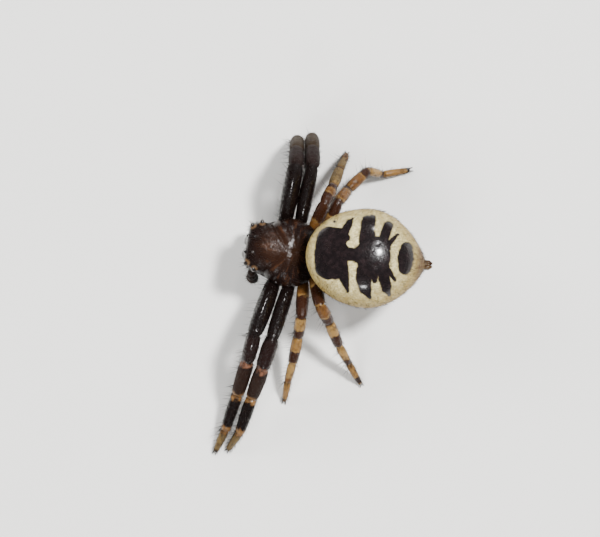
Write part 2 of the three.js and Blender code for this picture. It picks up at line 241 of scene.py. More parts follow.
class Shader:
    """Builds one procedural material on object coordinates or the piece's own map."""

    gloss_roughness: float = 0.12

    def __init__(self, name: str) -> None:
        """Makes an empty material with its surface shader.

        Args:
            name: The material's name.
        """
        self.material = bpy.data.materials.new(name)
        self.material.use_nodes = True
        self.tree = self.material.node_tree
        self.tree.nodes.clear()
        self.surface = self.tree.nodes.new("ShaderNodeBsdfPrincipled")
        output = self.tree.nodes.new("ShaderNodeOutputMaterial")
        self.tree.links.new(self.surface.outputs["BSDF"], output.inputs["Surface"])

    def node(self, kind: str, settings: dict, inputs: Union[list, dict],
             output: Union[int, str] = 0) -> Socket:
        """Adds any node.

        Args:
            kind: The node's type.
            settings: Its own settings, set before its sockets.
            inputs: Values or links for its sockets, in order or by name.
            output: The number or name of the output to hand back.

        Returns:
            The chosen output.
        """
        made = self.tree.nodes.new(kind)
        for key, value in settings.items():
            setattr(made, key, value)
        pairs = enumerate(inputs) if isinstance(inputs, list) else inputs.items()
        for key, value in pairs:
            self.feed(made.inputs[key], value)
        return Socket(self, made.outputs[output])

    def feed(self, socket: bpy.types.NodeSocket, value: Union[Tint, Value, Vector]) -> None:
        """Links or sets one input.

        Args:
            socket: The input.
            value: A link, a number, a colour or a vector.
        """
        if isinstance(value, Socket):
            self.tree.links.new(value.link, socket)
        elif socket.type == "RGBA":
            socket.default_value = (*value, 1.0)
        else:
            socket.default_value = value

    def millimetres(self) -> Socket:
        """The object coordinates in millimetres."""
        inputs = {0: self.node("ShaderNodeTexCoord", {}, [], "Object"), "Scale": 1 / MM}
        return self.node("ShaderNodeVectorMath", {"operation": "SCALE"}, inputs)

    def along(self, place: Socket, axis: Vector) -> Socket:
        """How far a place lies along an axis."""
        return self.node("ShaderNodeVectorMath", {"operation": "DOT_PRODUCT"}, [place, axis], "Value")

    def distance(self, place: Socket, centre: Vector) -> Socket:
        """How far a place lies from a point."""
        return self.node("ShaderNodeVectorMath", {"operation": "DISTANCE"}, [place, centre], "Value")

    def along_map(self, name: str) -> Socket:
        """The coordinate of the piece's own map that runs along the piece."""
        read = self.node("ShaderNodeUVMap", {"uv_map": name}, [])
        return self.node("ShaderNodeSeparateXYZ", {}, [read], "Y")

    def noise(self, place: Socket, scale: float, detail: float = 2.0, rough: float = 0.5) -> Socket:
        """Soft noise from 0 to 1.

        Args:
            place: Where it is read.
            scale: How many patches to the millimetre.
            detail: How many finer layers it has.
            rough: How strong they are.

        Returns:
            The noise.
        """
        inputs = {"Vector": place, "Scale": scale, "Detail": detail, "Roughness": rough}
        return self.node("ShaderNodeTexNoise", {}, inputs)

    def cells(self, place: Socket, scale: float) -> Socket:
        """Distance inside rounded cells, scale of them to the millimetre."""
        return self.node("ShaderNodeTexVoronoi", {"feature": "F1"}, {"Vector": place, "Scale": scale})

    def mix(self, share: Value, first: Tint, second: Tint) -> Socket:
        """A colour between two colours.

        Args:
            share: 0 for the first, 1 for the second.
            first: The first colour.
            second: The second colour.

        Returns:
            The mixed colour.
        """
        settings = {"data_type": "RGBA", "clamp_factor": True}
        # The node repeats its sockets' names for each type of data, so they go by number.
        return self.node("ShaderNodeMix", settings, {0: share, 6: first, 7: second}, 2)

    def gloss(self, weight: Socket) -> None:
        """Gives the surface a thin, smooth gloss as strong as the weight."""
        self.feed(self.surface.inputs["Coat Weight"], weight)
        self.surface.inputs["Coat Roughness"].default_value = self.gloss_roughness

    def finish(self, colour: Tint, roughness: Value, height: Socket, depth: float, **fixed: float) -> None:
        """Sets the surface.

        Args:
            colour: The base colour.
            roughness: The roughness.
            height: The fine relief.
            depth: How deep the relief is, in millimetres.
            fixed: Other sockets that are the same all over, by name with underscores.
        """
        self.feed(self.surface.inputs["Base Color"], colour)
        self.feed(self.surface.inputs["Roughness"], roughness)
        for name, value in fixed.items():
            self.surface.inputs[name.replace("_", " ").title().replace("Ior", "IOR")].default_value = value
        inputs = {"Height": height, "Distance": depth * MM, "Strength": 1.0}
        bump = self.node("ShaderNodeBump", {}, inputs)
        self.feed(self.surface.inputs["Normal"], bump)


@dataclass(frozen=True)
class Spot:
    """A rounded stroke of the abdomen's pattern, given on one side and mirrored or not."""

    start: tuple[float, float]
    end: tuple[float, float]
    start_radius: float
    end_radius: float

    def reach(self, along: Socket, across: Socket) -> Socket:
        """The distance to the stroke's edge, which is negative inside.

        Args:
            along: The place along the abdomen.
            across: The place across it.

        Returns:
            The distance in millimetres.
        """
        step = (self.end[0] - self.start[0], self.end[1] - self.start[1])
        square = max(step[0] ** 2 + step[1] ** 2, 1e-6)
        off_along = along - self.start[0]
        off_across = across - self.start[1]
        share = (off_along * (step[0] / square) + off_across * (step[1] / square)).most(0.0).least(1.0)
        left_along = off_along - share * step[0]
        left_across = off_across - share * step[1]
        gap = (left_along * left_along + left_across * left_across).math("SQRT")
        return gap - share * (self.end_radius - self.start_radius) - self.start_radius


@dataclass(frozen=True)
class AbdomenFinish:
    """Ivory skin with a black comb of lobes, a darker rim that is partly its own tan and partly painted
    shade, tan flanks and a brown underside.
    """

    ivory: Colour = (0.46, 0.375, 0.15)
    ivory_shade: Colour = (0.27, 0.22, 0.10)
    ivory_light: Colour = (0.68, 0.60, 0.33)
    # Rim colour: partly the skin's own yellow tan, partly painted shade on the lower sides.
    rim: Colour = (0.23, 0.148, 0.030)
    flank: Colour = (0.30, 0.16, 0.04)
    underside: Colour = (0.11, 0.065, 0.030)
    tail: Colour = (0.085, 0.040, 0.016)
    black: Colour = (0.0045, 0.0025, 0.0028)
    black_light: Colour = (0.017, 0.0095, 0.010)
    lean: float = 7.0
    yaw: float = 5.8
    forward: float = 0.012
    leftward: float = -0.065
    edge: float = 0.035
    vein_width: float = 0.035
    tail_fade: tuple[float, float] = (4.12, 4.50)
    paired: tuple[Spot, ...] = (
        Spot((0.90, 0.0), (0.92, 0.50), 0.57, 0.53),
        Spot((1.20, 0.0), (1.22, 0.56), 0.44, 0.46),
        Spot((2.44, 0.0), (2.74, 0.02), 0.62, 0.56),
        Spot((2.33, 0.55), (2.32, 0.80), 0.34, 0.32),
        Spot((2.50, 0.40), (2.92, 0.42), 0.40, 0.36),
        Spot((3.86, 0.0), (3.86, 0.38), 0.33, 0.25),
    )
    single: tuple[Spot, ...] = (
        Spot((1.36, 0.0), (2.03, 0.0), 0.27, 0.27),
        Spot((1.03, -1.21), (1.04, -1.21), 0.05, 0.05),
        Spot((1.38, -0.70), (1.60, -1.22), 0.22, 0.14),
        Spot((1.60, -1.22), (1.72, -1.38), 0.12, 0.05),
        Spot((1.48, 0.50), (1.56, 0.95), 0.22, 0.20),
        Spot((1.56, 0.95), (1.74, 1.42), 0.19, 0.07),
        Spot((2.30, -0.80), (2.29, -1.28), 0.32, 0.28),
        Spot((2.42, -1.20), (2.46, -1.42), 0.20, 0.17),
        Spot((2.30, 0.80), (2.38, 1.26), 0.32, 0.25),
        Spot((2.40, 1.30), (2.56, 1.56), 0.24, 0.10),
        Spot((2.96, -0.68), (3.10, -1.19), 0.20, 0.20),
        Spot((3.20, -0.55), (3.50, -0.90), 0.13, 0.05),
        Spot((3.02, 0.55), (3.20, 1.18), 0.26, 0.20),
        Spot((3.20, 1.18), (3.32, 1.42), 0.19, 0.08),
        Spot((3.22, 0.50), (3.52, 0.86), 0.13, 0.06),
        Spot((2.70, 0.75), (2.74, 0.92), 0.16, 0.12),
    )
    bars: tuple[Spot, ...] = (
        Spot((1.99, -1.90), (1.82, -0.62), 0.15, 0.155),
        Spot((1.68, -0.42), (1.87, -0.41), 0.115, 0.115),
        Spot((2.04, 1.75), (1.87, 0.92), 0.09, 0.075),
        Spot((1.87, 0.92), (1.84, 0.52), 0.080, 0.14),
        Spot((1.79, 0.43), (1.92, 0.41), 0.10, 0.11),
    )

    def build(self) -> bpy.types.Material:
        """Makes the material.

        Returns:
            The finished material.
        """
        shader = Shader("ivory_and_black_skin")
        place = shader.millimetres()
        yaw, lean = math.radians(self.yaw), math.radians(self.lean)
        back = Vector((-math.sin(yaw), math.cos(yaw), 0.0))
        side = Vector((math.cos(yaw) * math.cos(lean), math.sin(yaw) * math.cos(lean), -math.sin(lean)))
        centre = Vector((ABDOMEN.centre_side, ABDOMEN.centre_back, ABDOMEN.middle + ABDOMEN.up)) + SHIFT
        waver = shader.noise(place, 3.2, 3.0) - 0.5
        fray = shader.noise(place, 14.0, 2.0) - 0.5
        along = shader.along(place, back) - back.dot(centre) + ABDOMEN.front_length + self.forward
        across = shader.along(place, side) - side.dot(centre) + self.leftward
        along = along + waver * 0.10 + fray * 0.05
        across = across + (shader.noise(place, 2.7, 3.0) - 0.5) * 0.10 + fray * 0.04
        away = abs(across)
        blots = [spot.reach(along, away) for spot in self.paired]
        blots += [spot.reach(along, across) for spot in self.single]
        blot = reduce(Socket.least, blots)
        bar = reduce(Socket.least, [spot.reach(along, across) for spot in self.bars])
        dark = blot.most(bar * -1.0)
        black = dark.ramp(self.edge, -self.edge)
        height = shader.along(place, UP)
        grain = shader.cells(place, 15.0)
        mottle = shader.noise(place, 5.0, 4.0, 0.65)
        ivory = shader.mix(grain.ramp(0.25, 0.75), self.ivory_light, self.ivory)
        ivory = shader.mix(mottle.ramp(0.42, 0.72) * 0.8, ivory, self.ivory_shade)
        flank = shader.mix(mottle.ramp(0.45, 0.7), self.flank, self.ivory_shade)
        # Painted shade, in part: the ivory darkens towards the rim colour down the sides, by height alone.
        rim = (height + waver * 0.7).ramp(ABDOMEN.middle + 1.25, ABDOMEN.middle + 0.25)
        ground = shader.mix(rim * (0.45 + mottle * 0.6), ivory, self.rim)
        low = (height + waver * 0.6).ramp(ABDOMEN.middle + 0.35, ABDOMEN.middle - 0.35)
        ground = shader.mix(low, ground, flank)
        tail = (along + waver * 0.3).ramp(*self.tail_fade)
        ground = shader.mix(tail, ground, self.tail)
        vein = self.vein_width - abs(shader.noise(place, 1.6, 5.0, 0.7) - 0.5)
        ground = shader.mix(vein.ramp(0.0, self.vein_width) * 0.5, ground, self.ivory_shade)
        under = (height + waver * 0.4).ramp(ABDOMEN.middle - 0.55, ABDOMEN.middle - 0.95)
        ground = shader.mix(under, ground, self.underside)
        ink = shader.mix(mottle.ramp(0.4, 0.75) * 0.8, self.black, self.black_light)
        above = (height + waver * 0.3).ramp(ABDOMEN.middle - 0.1, ABDOMEN.middle + 0.1)
        colour = shader.mix(black * above, ground, ink)
        fold = shader.noise(place, 9.0, 3.0)
        relief = grain * 0.5 + fold * 0.8
        roughness = 0.48 - black * above * 0.22 + (mottle - 0.5) * 0.10
        shader.gloss(black * above * (0.30 + fold * 0.4))
        shader.finish(colour, roughness, relief, 0.0085, specular_ior_level=0.15)
        return shader.material


@dataclass(frozen=True)
class ShellFinish:
    """Glossy dark shell of the carapace, with a redder middle and bronze mounds round the eyes."""

    name: str = "dark_carapace_shell"
    dark: Colour = (0.0065, 0.003, 0.0024)
    warm: Colour = (0.021, 0.0080, 0.0036)
    streak: Colour = (0.050, 0.020, 0.009)
    bronze: Colour = (0.13, 0.075, 0.036)
    black: Colour = (0.004, 0.0025, 0.0025)
    mound_fade: tuple[float, float] = (0.185, 0.12)
    streak_share: float = 0.60

    def build(self, mounds: Sequence[Vector]) -> bpy.types.Material:
        """Makes the material.

        Args:
            mounds: The places of the pale eye mounds, in the frame's millimetres.

        Returns:
            The finished material.
        """
        shader = Shader(self.name)
        place = shader.millimetres()
        mottle = shader.noise(place, 2.6, 4.0, 0.6)
        grain = shader.cells(place, 13.0)
        wrinkle = shader.noise(place, 9.0, 5.0, 0.65)
        core = SHIFT + Vector((0.0, -0.25, CARAPACE.rim_height + 0.7))
        middle = shader.distance(place, core).ramp(1.15, 0.25)
        colour = shader.mix(middle * (0.35 + mottle * 0.9), self.dark, self.warm)
        side = shader.along(place, Vector((1.0, 0.0, 0.0))) - SHIFT.x
        behind = shader.along(place, Vector((0.0, 1.0, 0.0))) - SHIFT.y - CarapaceSkin.pit_back
        turn = side.math("ARCTAN2", behind)
        reach = (side * side + behind * behind).math("SQRT")
        fan = shader.node("ShaderNodeCombineXYZ", {}, [abs(turn) * 3.4, reach * 0.9, mottle])
        streak = shader.noise(fan, 1.5, 3.0, 0.6).ramp(0.52, 0.68)
        spread = reach.ramp(0.12, 0.35) * reach.ramp(1.75, 0.9)
        colour = shader.mix(streak * spread * self.streak_share, colour, self.streak)
        colour = shader.mix(behind.ramp(0.13, 0.58), colour, self.black)
        near = [shader.distance(place, mound).ramp(*self.mound_fade) for mound in mounds]
        colour = shader.mix(reduce(Socket.most, near) * (0.45 + mottle * 0.6), colour, self.bronze)
        roughness = 0.13 + wrinkle * 0.17
        relief = grain * 0.5 + wrinkle * 1.1
        shader.finish(colour, roughness, relief, 0.0105, specular_ior_level=0.21)
        return shader.material


@dataclass(frozen=True)
class Band:
    """One ring of colour along a leg, as places in pieces from the hip, with its colour."""

    start: float
    end: float
    colour: Colour


@dataclass(frozen=True)
class LegFinish:
    """Banded shell of a leg, on the leg's own map, with one stretch of it matte."""

    name: str
    ground: Colour
    bands: tuple[Band, ...]
    matte: tuple[float, float]
    speckle: Colour = (0.01, 0.006, 0.005)
    speckle_share: float = 0.5
    roughness: float = 0.22
    dulling: float = 0.40
    specular: float = 0.16
    gloss: float = 0.6

    def build(self) -> bpy.types.Material:
        """Makes the material.

        Returns:
            The finished material.
        """
        shader = Shader(self.name)
        place = shader.millimetres()
        piece = shader.along_map("LegMap") * float(len(PIECES))
        mottle = shader.noise(place, 4.0, 4.0, 0.6)
        streak = shader.noise(place, 11.0, 3.0, 0.6)
        piece = piece + (mottle - 0.5) * 0.34
        colour: Tint = self.ground
        for band in self.bands:
            middle = (band.start + band.end) / 2
            half = (band.end - band.start) / 2
            inside = abs(piece - middle).ramp(half + 0.05, half - 0.05)
            colour = shader.mix(inside, colour, band.colour)
        colour = shader.mix(mottle.ramp(0.48, 0.70) * self.speckle_share, colour, self.speckle)
        knobs = shader.noise(place, 6.0, 2.0, 0.5)
        relief = streak * 0.8 + shader.cells(place, 15.0) * 0.4 + knobs * 1.6
        start, end = self.matte
        matte = piece.ramp(start - 0.1, start + 0.1) * piece.ramp(end + 0.1, end - 0.1)
        roughness = (self.roughness - 0.07) + streak * 0.14 + matte * self.dulling
        glints = shader.noise(place, 12.0, 3.0, 0.6).ramp(0.44, 0.62)
        shader.gloss((1.0 - matte) * glints * self.gloss)
        shader.finish(colour, roughness, relief, 0.0200, specular_ior_level=self.specular)
        return shader.material


@dataclass(frozen=True)
class PlainShellFinish:
    """Mottled shell or skin of one colour, such as a palp's, a fang's or a bristle's."""

    name: str
    colour: Colour
    shade: Colour
    roughness: float = 0.26
    relief: float = 0.008
    scale: float = 9.0
    specular: float = 0.38

    def build(self) -> bpy.types.Material:
        """Makes the material.

        Returns:
            The finished material.
        """
        shader = Shader(self.name)
        place = shader.millimetres()
        mottle = shader.noise(place, self.scale * 0.5, 4.0, 0.6)
        fine = shader.noise(place, self.scale * 1.6, 3.0)
        colour = shader.mix(mottle.ramp(0.35, 0.7), self.colour, self.shade)
        roughness = (self.roughness - 0.07) + fine * 0.14
        shader.finish(colour, roughness, fine, self.relief, specular_ior_level=self.specular)
        return shader.material


@dataclass(frozen=True)
class LensFinish:
    """Wet black lens of an eye, with a brown glow at its edge."""

    pupil: Colour = (0.003, 0.002, 0.002)
    glow: Colour = (0.05, 0.022, 0.010)

    def build(self) -> bpy.types.Material:
        """Makes the material.

        Returns:
            The finished material.
        """
        shader = Shader("eye_lens")
        place = shader.millimetres()
        cloud = shader.noise(place, 10.0, 2.0)
        colour = shader.mix(cloud.ramp(0.5, 0.7) * 0.5, self.pupil, self.glow)
        roughness = 0.05 + cloud * 0.05
        shader.finish(colour, roughness, cloud, 0.001, specular_ior_level=0.6, coat_weight=1.0)
        return shader.material


class Pieces:
    """Turns finished bmeshes into pieces that ride on the spider's body."""

    @staticmethod
    def add(name: str, mesh: bmesh.types.BMesh, finish: bpy.types.Material, slot: str,
            nodes: Sequence[str] = ()) -> bpy.types.Object:
        """Moves a mesh onto the frame and makes it a piece.

        Args:
            name: The piece's name.
            mesh: The mesh, in millimetres from the sternum's middle.
            finish: Its material.
            slot: The name of a material slot, which is not used.
            nodes: The frame's nodes that it stands for.

        Returns:
            The new piece.
        """
        for vertex in mesh.verts:
            vertex.co = onto_frame(vertex.co)
        for face in mesh.faces:
            face.smooth = True
        data = bpy.data.meshes.new(name)
        mesh.to_mesh(data)
        mesh.free()
        return Pieces.dress(name, data, finish, slot, nodes)

    @staticmethod
    def dress(name: str, data: bpy.types.Mesh, finish: bpy.types.Material, slot: str,
              nodes: Sequence[str] = ()) -> bpy.types.Object:
        """Makes finished mesh data a piece, as add does.

        Args:
            name: The piece's name.
            data: The mesh, in metres on the frame.
            finish: Its material.
            slot: The name of a material slot, which is not used.
            nodes: The frame's nodes that it stands for.

        Returns:
            The new piece.
        """
        data.materials.append(finish)
        piece = bpy.data.objects.new(name, data)
        bpy.context.scene.collection.objects.link(piece)
        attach(piece, BODY)
        if nodes:
            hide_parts(*nodes)
        LOG.info("%s: %d faces", name, len(data.polygons))
        return piece


def join(whole: bmesh.types.BMesh, part: bmesh.types.BMesh) -> None:
    """Adds one mesh to another.

    Args:
        whole: The mesh that grows.
        part: The mesh that goes into it and is freed.
    """
    data = bpy.data.meshes.new("part")
    part.to_mesh(data)
    part.free()
    whole.from_mesh(data)
    bpy.data.meshes.remove(data)


SurfaceRule = Callable[[float, float], Vector]


def wrap(across: int, along: int, rule: SurfaceRule, map_name: str) -> bmesh.types.BMesh:
    """Wraps a flat grid into a closed skin.

    Args:
        across: Faces round the skin.
        along: Faces from its first end to its last.
        rule: Gives the point at a share round the skin and a share along it.
        map_name: The name of the map that keeps those two shares.

    Returns:
        The closed mesh, with its seam and ends merged.
    """
    mesh = bmesh.new()
    bmesh.ops.create_grid(mesh, x_segments=across, y_segments=along, size=0.5)
    layer = mesh.loops.layers.uv.new(map_name)
    for face in mesh.faces:
        for loop in face.loops:
            loop[layer].uv = (loop.vert.co.x + 0.5, loop.vert.co.y + 0.5)
    for vertex in mesh.verts:
        vertex.co = rule(vertex.co.x + 0.5, vertex.co.y + 0.5)
    bmesh.ops.remove_doubles(mesh, verts=mesh.verts, dist=1e-5)
    bmesh.ops.recalc_face_normals(mesh, faces=mesh.faces)
    return mesh


def section(angle: float, half_width: float, up: float, down: float, power: float) -> tuple[float, float]:
    """A point on a section that is squarer than an ellipse where power is over 2.

    Args:
        angle: The angle from the left side, rising.
        half_width: The reach to the sides.
        up: The reach up.
        down: The reach down.
        power: The squareness.

    Returns:
        The place across and the height.
    """
    across, rise = math.cos(angle), math.sin(angle)
    reach = up if rise > 0 else down
    share = 2 / power
    wide = math.copysign(abs(across) ** share, across) * half_width
    return wide, math.copysign(abs(rise) ** share, rise) * reach


class Skin:
    """A skin that can be sampled for the bristles that grow on it."""

    def point(self, around: float, along: float) -> Vector:
        """The point at a share round and a share along the skin."""
        raise NotImplementedError

    def outward(self, around: float, along: float) -> tuple[Vector, Vector, Vector]:
        """Finds the way out of the skin.

        Args:
            around: The share round the skin.
            along: The share along it.

        Returns:
            The point, the way out of the skin and the way back along it.
        """
        step = 0.004
        here = self.point(around, along)
        turn = self.point(around + step, along) - self.point(around - step, along)
        run = self.point(around, min(1.0, along + step)) - self.point(around, max(0.0, along - step))
        out = turn.cross(run)
        if out.length < 1e-9:
            out = here - self.heart(along)
        out.normalize()
        if out.dot(here - self.heart(along)) < 0:
            out.negate()
        return here, out, run.normalized()

    def heart(self, along: float) -> Vector:
        """A point inside the skin at a share along it."""
        raise NotImplementedError


@dataclass(frozen=True)
class CarapaceSkin(Skin):
    """The shield: square in front at the eyes, widest over the second legs, steep behind."""

    groove_depth: float = 0.065
    groove_width: float = 0.10
    ray_depth: float = 0.022
    ray_width: float = 0.07
    ray_turns: tuple[float, ...] = (-0.55, 0.05, 0.6)
    pit_depth: float = 0.07
    pit_back: float = 0.42

    def bare(self, ahead: float, angle: float) -> Vector:
        """A point of the plain shield.

        Args:
            ahead: From 1 in front to -1 behind.
            angle: The angle round it from its left rim, rising.

        Returns:
            The point.
        """
        sizes = CARAPACE
        forward = sizes.middle + ahead * sizes.half_length
        corner = sizes.front_cornering if ahead > 0 else sizes.rear_cornering
        closing = max(0.0, 1 - abs(ahead) ** corner) ** (1 / corner)
        head = smooth(forward, -0.25, 1.05)
        half_width = sizes.thorax_half_width + (sizes.head_half_width - sizes.thorax_half_width) * head
        slope = smooth(-forward, 0.15, 1.45)
        dome = sizes.dome_height * (1 - sizes.rear_flattening * slope) + sizes.head_lift * head
        reaches = (reach * closing for reach in (half_width, dome, sizes.keel_depth))
        across, height = section(angle, *reaches, sizes.squareness)
        return Vector((across, -forward, sizes.rim_height + height))

    def point(self, around: float, along: float) -> Vector:
        """The shield with its grooves, its middle pit and its eye mounds.

        Args:
            around: The share round the skin.
            along: The share along it.

        Returns:
            The point.
        """
        angle = around * 2 * math.pi
        place = self.bare(math.cos(along * math.pi), angle)
        if math.sin(angle) <= 0:
            return place
        forward = -place.y
        heart = Vector((0.0, place.y * 0.8, CARAPACE.rim_height))
        out = (place - heart).normalized()
        side = abs(place.x)
        neck = forward - (-0.15 + side * 0.75)
        fade = smooth(side, 0.12, 0.45) * smooth(1.15, side, side + 0.01)
        sink = self.groove_depth * bell(neck, self.groove_width) * fade
        for turn in self.ray_turns:
            ray = forward + 0.45 - side * turn
            sink += self.ray_depth * bell(ray, self.ray_width) * smooth(side, 0.25, 0.6)
        sink += self.pit_depth * bell(forward + self.pit_back, 0.16) * bell(side, 0.05)
        place = place - out * sink
        for mound in Eyes.mounds():
            gap = (place - mound.place).length
            if gap < 0.5:
                place = place + mound.out * (mound.rise * bell(gap, mound.width))
        return place

    def heart(self, along: float) -> Vector:
        """A point inside the shield."""
        forward = CARAPACE.middle + math.cos(along * math.pi) * CARAPACE.half_length
        return Vector((0.0, -forward * 0.85, CARAPACE.rim_height))


@dataclass(frozen=True)
class Mound:
    """A swelling of the shield that carries an eye."""

    place: Vector
    out: Vector
    width: float
    rise: float


@dataclass(frozen=True)
class EyeSizes:
    """One pair of eyes: forward place, angle up the shield from its rim, lens and mound."""

    name: str
    forward: float
    angle: float
    radius: float
    mound_width: float
    mound_rise: float


@dataclass(frozen=True)
class Eyes:
    """Eight lenses: two in front, two behind them, and four on the corner mounds."""

    pairs: tuple[EyeSizes, ...] = (
        EyeSizes("front_median", 1.44, 66, 0.062, 0.10, 0.025),
        EyeSizes("front_lateral", 1.30, 40, 0.085, 0.17, 0.12),
        EyeSizes("rear_median", 1.14, 74, 0.060, 0.10, 0.025),
        EyeSizes("rear_lateral", 1.00, 32, 0.085, 0.18, 0.13),
    )

    @classmethod
    def seat(cls, pair: EyeSizes, side: Side) -> tuple[Vector, Vector]:
        """Finds where a pair's eye sits.

        Args:
            pair: The pair.
            side: Its side.

        Returns:
            The place on the plain shield and the way out of it.
        """
        skin = CarapaceSkin()
        ahead = (pair.forward - CARAPACE.middle) / CARAPACE.half_length
        angle = math.radians(pair.angle)
        if side is Side.RIGHT:
            angle = math.pi - angle
        step = 0.01
        place = skin.bare(ahead, angle)
        out = (skin.bare(ahead, angle + step) - place).cross(skin.bare(ahead + step, angle) - place)
        out.normalize()
        if out.dot(place - UP * CARAPACE.rim_height) < 0:
            out.negate()
        return place, out

    @classmethod
    @cache
    def mounds(cls) -> list[Mound]:
        """The swellings under all eight eyes."""
        return [Mound(*cls.seat(pair, side), pair.mound_width, pair.mound_rise)
                for pair in cls.pairs for side in Side]

    def build(self, finish: bpy.types.Material) -> None:
        """Makes the lenses.

        Args:
            finish: Their material.
        """
        for pair in self.pairs:
            for side in Side:
                place, out = self.seat(pair, side)
                centre = place + out * (pair.mound_rise + pair.radius * 0.10)
                mesh = bmesh.new()
                bmesh.ops.create_uvsphere(mesh, u_segments=32, v_segments=20, radius=pair.radius)
                bmesh.ops.translate(mesh, verts=mesh.verts, vec=centre)
                name = f"eye_{pair.name}_{side.word}"
                Pieces.add(f"{name}_lens", mesh, finish, "eye", [name])


@dataclass(frozen=True)
class AbdomenSkin(Skin):
    """The abdomen: an egg, blunt in front and running to a cone behind, with small dimples."""

    dimples: tuple[tuple[float, float], ...] = ((1.25, 0.36), (1.95, 0.50), (2.75, 0.42), (3.35, 0.30))
    dimple_depth: float = 0.018
    dimple_width: float = 0.085
    fold_depth: float = 0.018

    def point(self, around: float, along: float) -> Vector:
        """The egg's skin with its dimples and shallow flank folds.

        Args:
            around: The share round the skin.
            along: The share along it.

        Returns:
            The point.
        """
        sizes = ABDOMEN
        ahead = math.cos(along * math.pi)
        away = abs(ahead)
        round_end = math.sqrt(max(0.0, 1 - away ** 2))
        if ahead > 0:
            wide, high, length = round_end, round_end, sizes.front_length
            lean = sizes.front_rise * away ** 2
        else:
            wide, high = (max(0.0, 1 - away ** power) ** root
                          for power, root in (sizes.rear_narrowing, sizes.rear_lowering))
            length = sizes.rear_length
            lean = -sizes.rear_drop * away ** 2
        angle = around * 2 * math.pi
        across, height = section(angle, sizes.half_width * wide, sizes.up * high, sizes.down * high, 2.0)
        back = -ahead * length
        sink = 0.0
        if height > 0:
            for place, side in self.dimples:
                gap = math.hypot(back + sizes.front_length - place, abs(across) - side)
                sink += self.dimple_depth * bell(gap, self.dimple_width)
        flank = smooth(0.45 - height, 0.0, 0.5) * smooth(wide, 0.3, 0.7)
        wave = math.sin(height * 26 + math.sin(back * 2.2) * 2.0)
        sink += self.fold_depth * flank * (0.5 + 0.5 * wave)
        share = 1 - sink / max(0.4, math.hypot(across, height))
        local = Vector((across * share, back, sizes.middle + lean + height * share))
        return self.set_in_place(local)

    @staticmethod
    def set_in_place(local: Vector) -> Vector:
        """Turns a point of the abdomen's own frame by its yaw and sets it behind the shield."""
        turned = Matrix.Rotation(math.radians(ABDOMEN.yaw), 3, "Z") @ local
        return turned + Vector((ABDOMEN.centre_side, ABDOMEN.centre_back, 0.0))

    def heart(self, along: float) -> Vector:
        """A point inside the egg.

        Args:
            along: The share along the skin.

        Returns:
            The point.
        """
        ahead = math.cos(along * math.pi)
        length = ABDOMEN.front_length if ahead > 0 else ABDOMEN.rear_length
        return self.set_in_place(Vector((0.0, -ahead * length * 0.8, ABDOMEN.middle - 0.2 * (ahead < 0))))


PIECES = ("coxa", "femur", "patella", "tibia", "metatarsus", "tarsus")
HIP_HEIGHT = 1.92
COXA_HEIGHT = 1.80
FOOT_HEIGHT = 0.10

# The half width at even steps along each kind of piece, as a share of its fullest.
FORMS = {
    "coxa": (0.74, 0.98, 1.0, 0.94, 0.86),
    "femur": (0.78, 0.93, 1.0, 1.0, 0.96, 0.84),
    "patella": (0.84, 0.98, 1.0, 0.94, 0.84),
    "tibia": (0.84, 0.97, 1.0, 0.97, 0.92, 0.82),
    "metatarsus": (0.88, 1.0, 0.98, 0.90, 0.80),
    "tarsus": (0.92, 1.0, 0.96, 0.84, 0.70),
}


@dataclass(frozen=True)
class LegPair:
    """Sizes that a left and a right leg share: hips, lengths and half widths of the pieces."""

    coxa: tuple[float, float]
    hip: tuple[float, float]
    lengths: tuple[float, ...]
    radii: tuple[float, ...]


@dataclass(frozen=True)
class Pose:
    """Turn back from straight out and rise of each piece past the hip, in degrees."""

    femur: tuple[float, float]
    patella: tuple[float, float]
    tibia: tuple[float, float]
    metatarsus: tuple[float, float]
    tarsus_turn: float


PAIRS = {
    1: LegPair((0.30, 0.42), (0.19, 1.12),
               (2.60, 1.20, 1.75, 1.55, 0.90), (0.29, 0.34, 0.30, 0.29, 0.24, 0.165)),
    2: LegPair((-0.22, 0.46), (-0.43, 1.12),
               (2.55, 1.25, 1.70, 1.50, 0.90), (0.28, 0.29, 0.31, 0.29, 0.24, 0.16)),
    3: LegPair((-0.62, 0.42), (-0.93, 0.93),
               (1.63, 0.95, 1.17, 0.92, 0.92), (0.23, 0.25, 0.23, 0.22, 0.17, 0.14)),
    4: LegPair((-0.92, 0.24), (-1.28, 0.62),
               (1.78, 0.97, 1.22, 1.02, 1.06), (0.23, 0.25, 0.24, 0.22, 0.17, 0.14)),
}

POSES = {
    (Side.LEFT, 1): Pose((-9, 26), (-5, -33), (-9, -46), (-10, -23), -16),
    (Side.LEFT, 2): Pose((-7, 23), (-8, -18), (-13, -51), (-10, -20), -28),
    (Side.LEFT, 3): Pose((7, 26), (0, -38), (-3, -35), (-6, -42), -1),
    (Side.LEFT, 4): Pose((20, 40), (42, -46), (35, -43), (42, -45), 43),
    (Side.RIGHT, 1): Pose((2, 34), (-7, -54), (-8, -69), (175, -18), 180),
    (Side.RIGHT, 2): Pose((2, 29), (-8, -50), (-12, -66), (174, -10), 180),
    (Side.RIGHT, 3): Pose((15, 45), (14, -31), (9, -47), (10, -56), 6),
    (Side.RIGHT, 4): Pose((15, 16), (24, -44), (34, -24), (84, -56), 68),
}


@dataclass
class Ring:
    """One ring of a tube: its centre, the way along, the way up, its half width and its piece share."""

    centre: Vector
    along: Vector
    up: Vector
    radius: float
    share: float


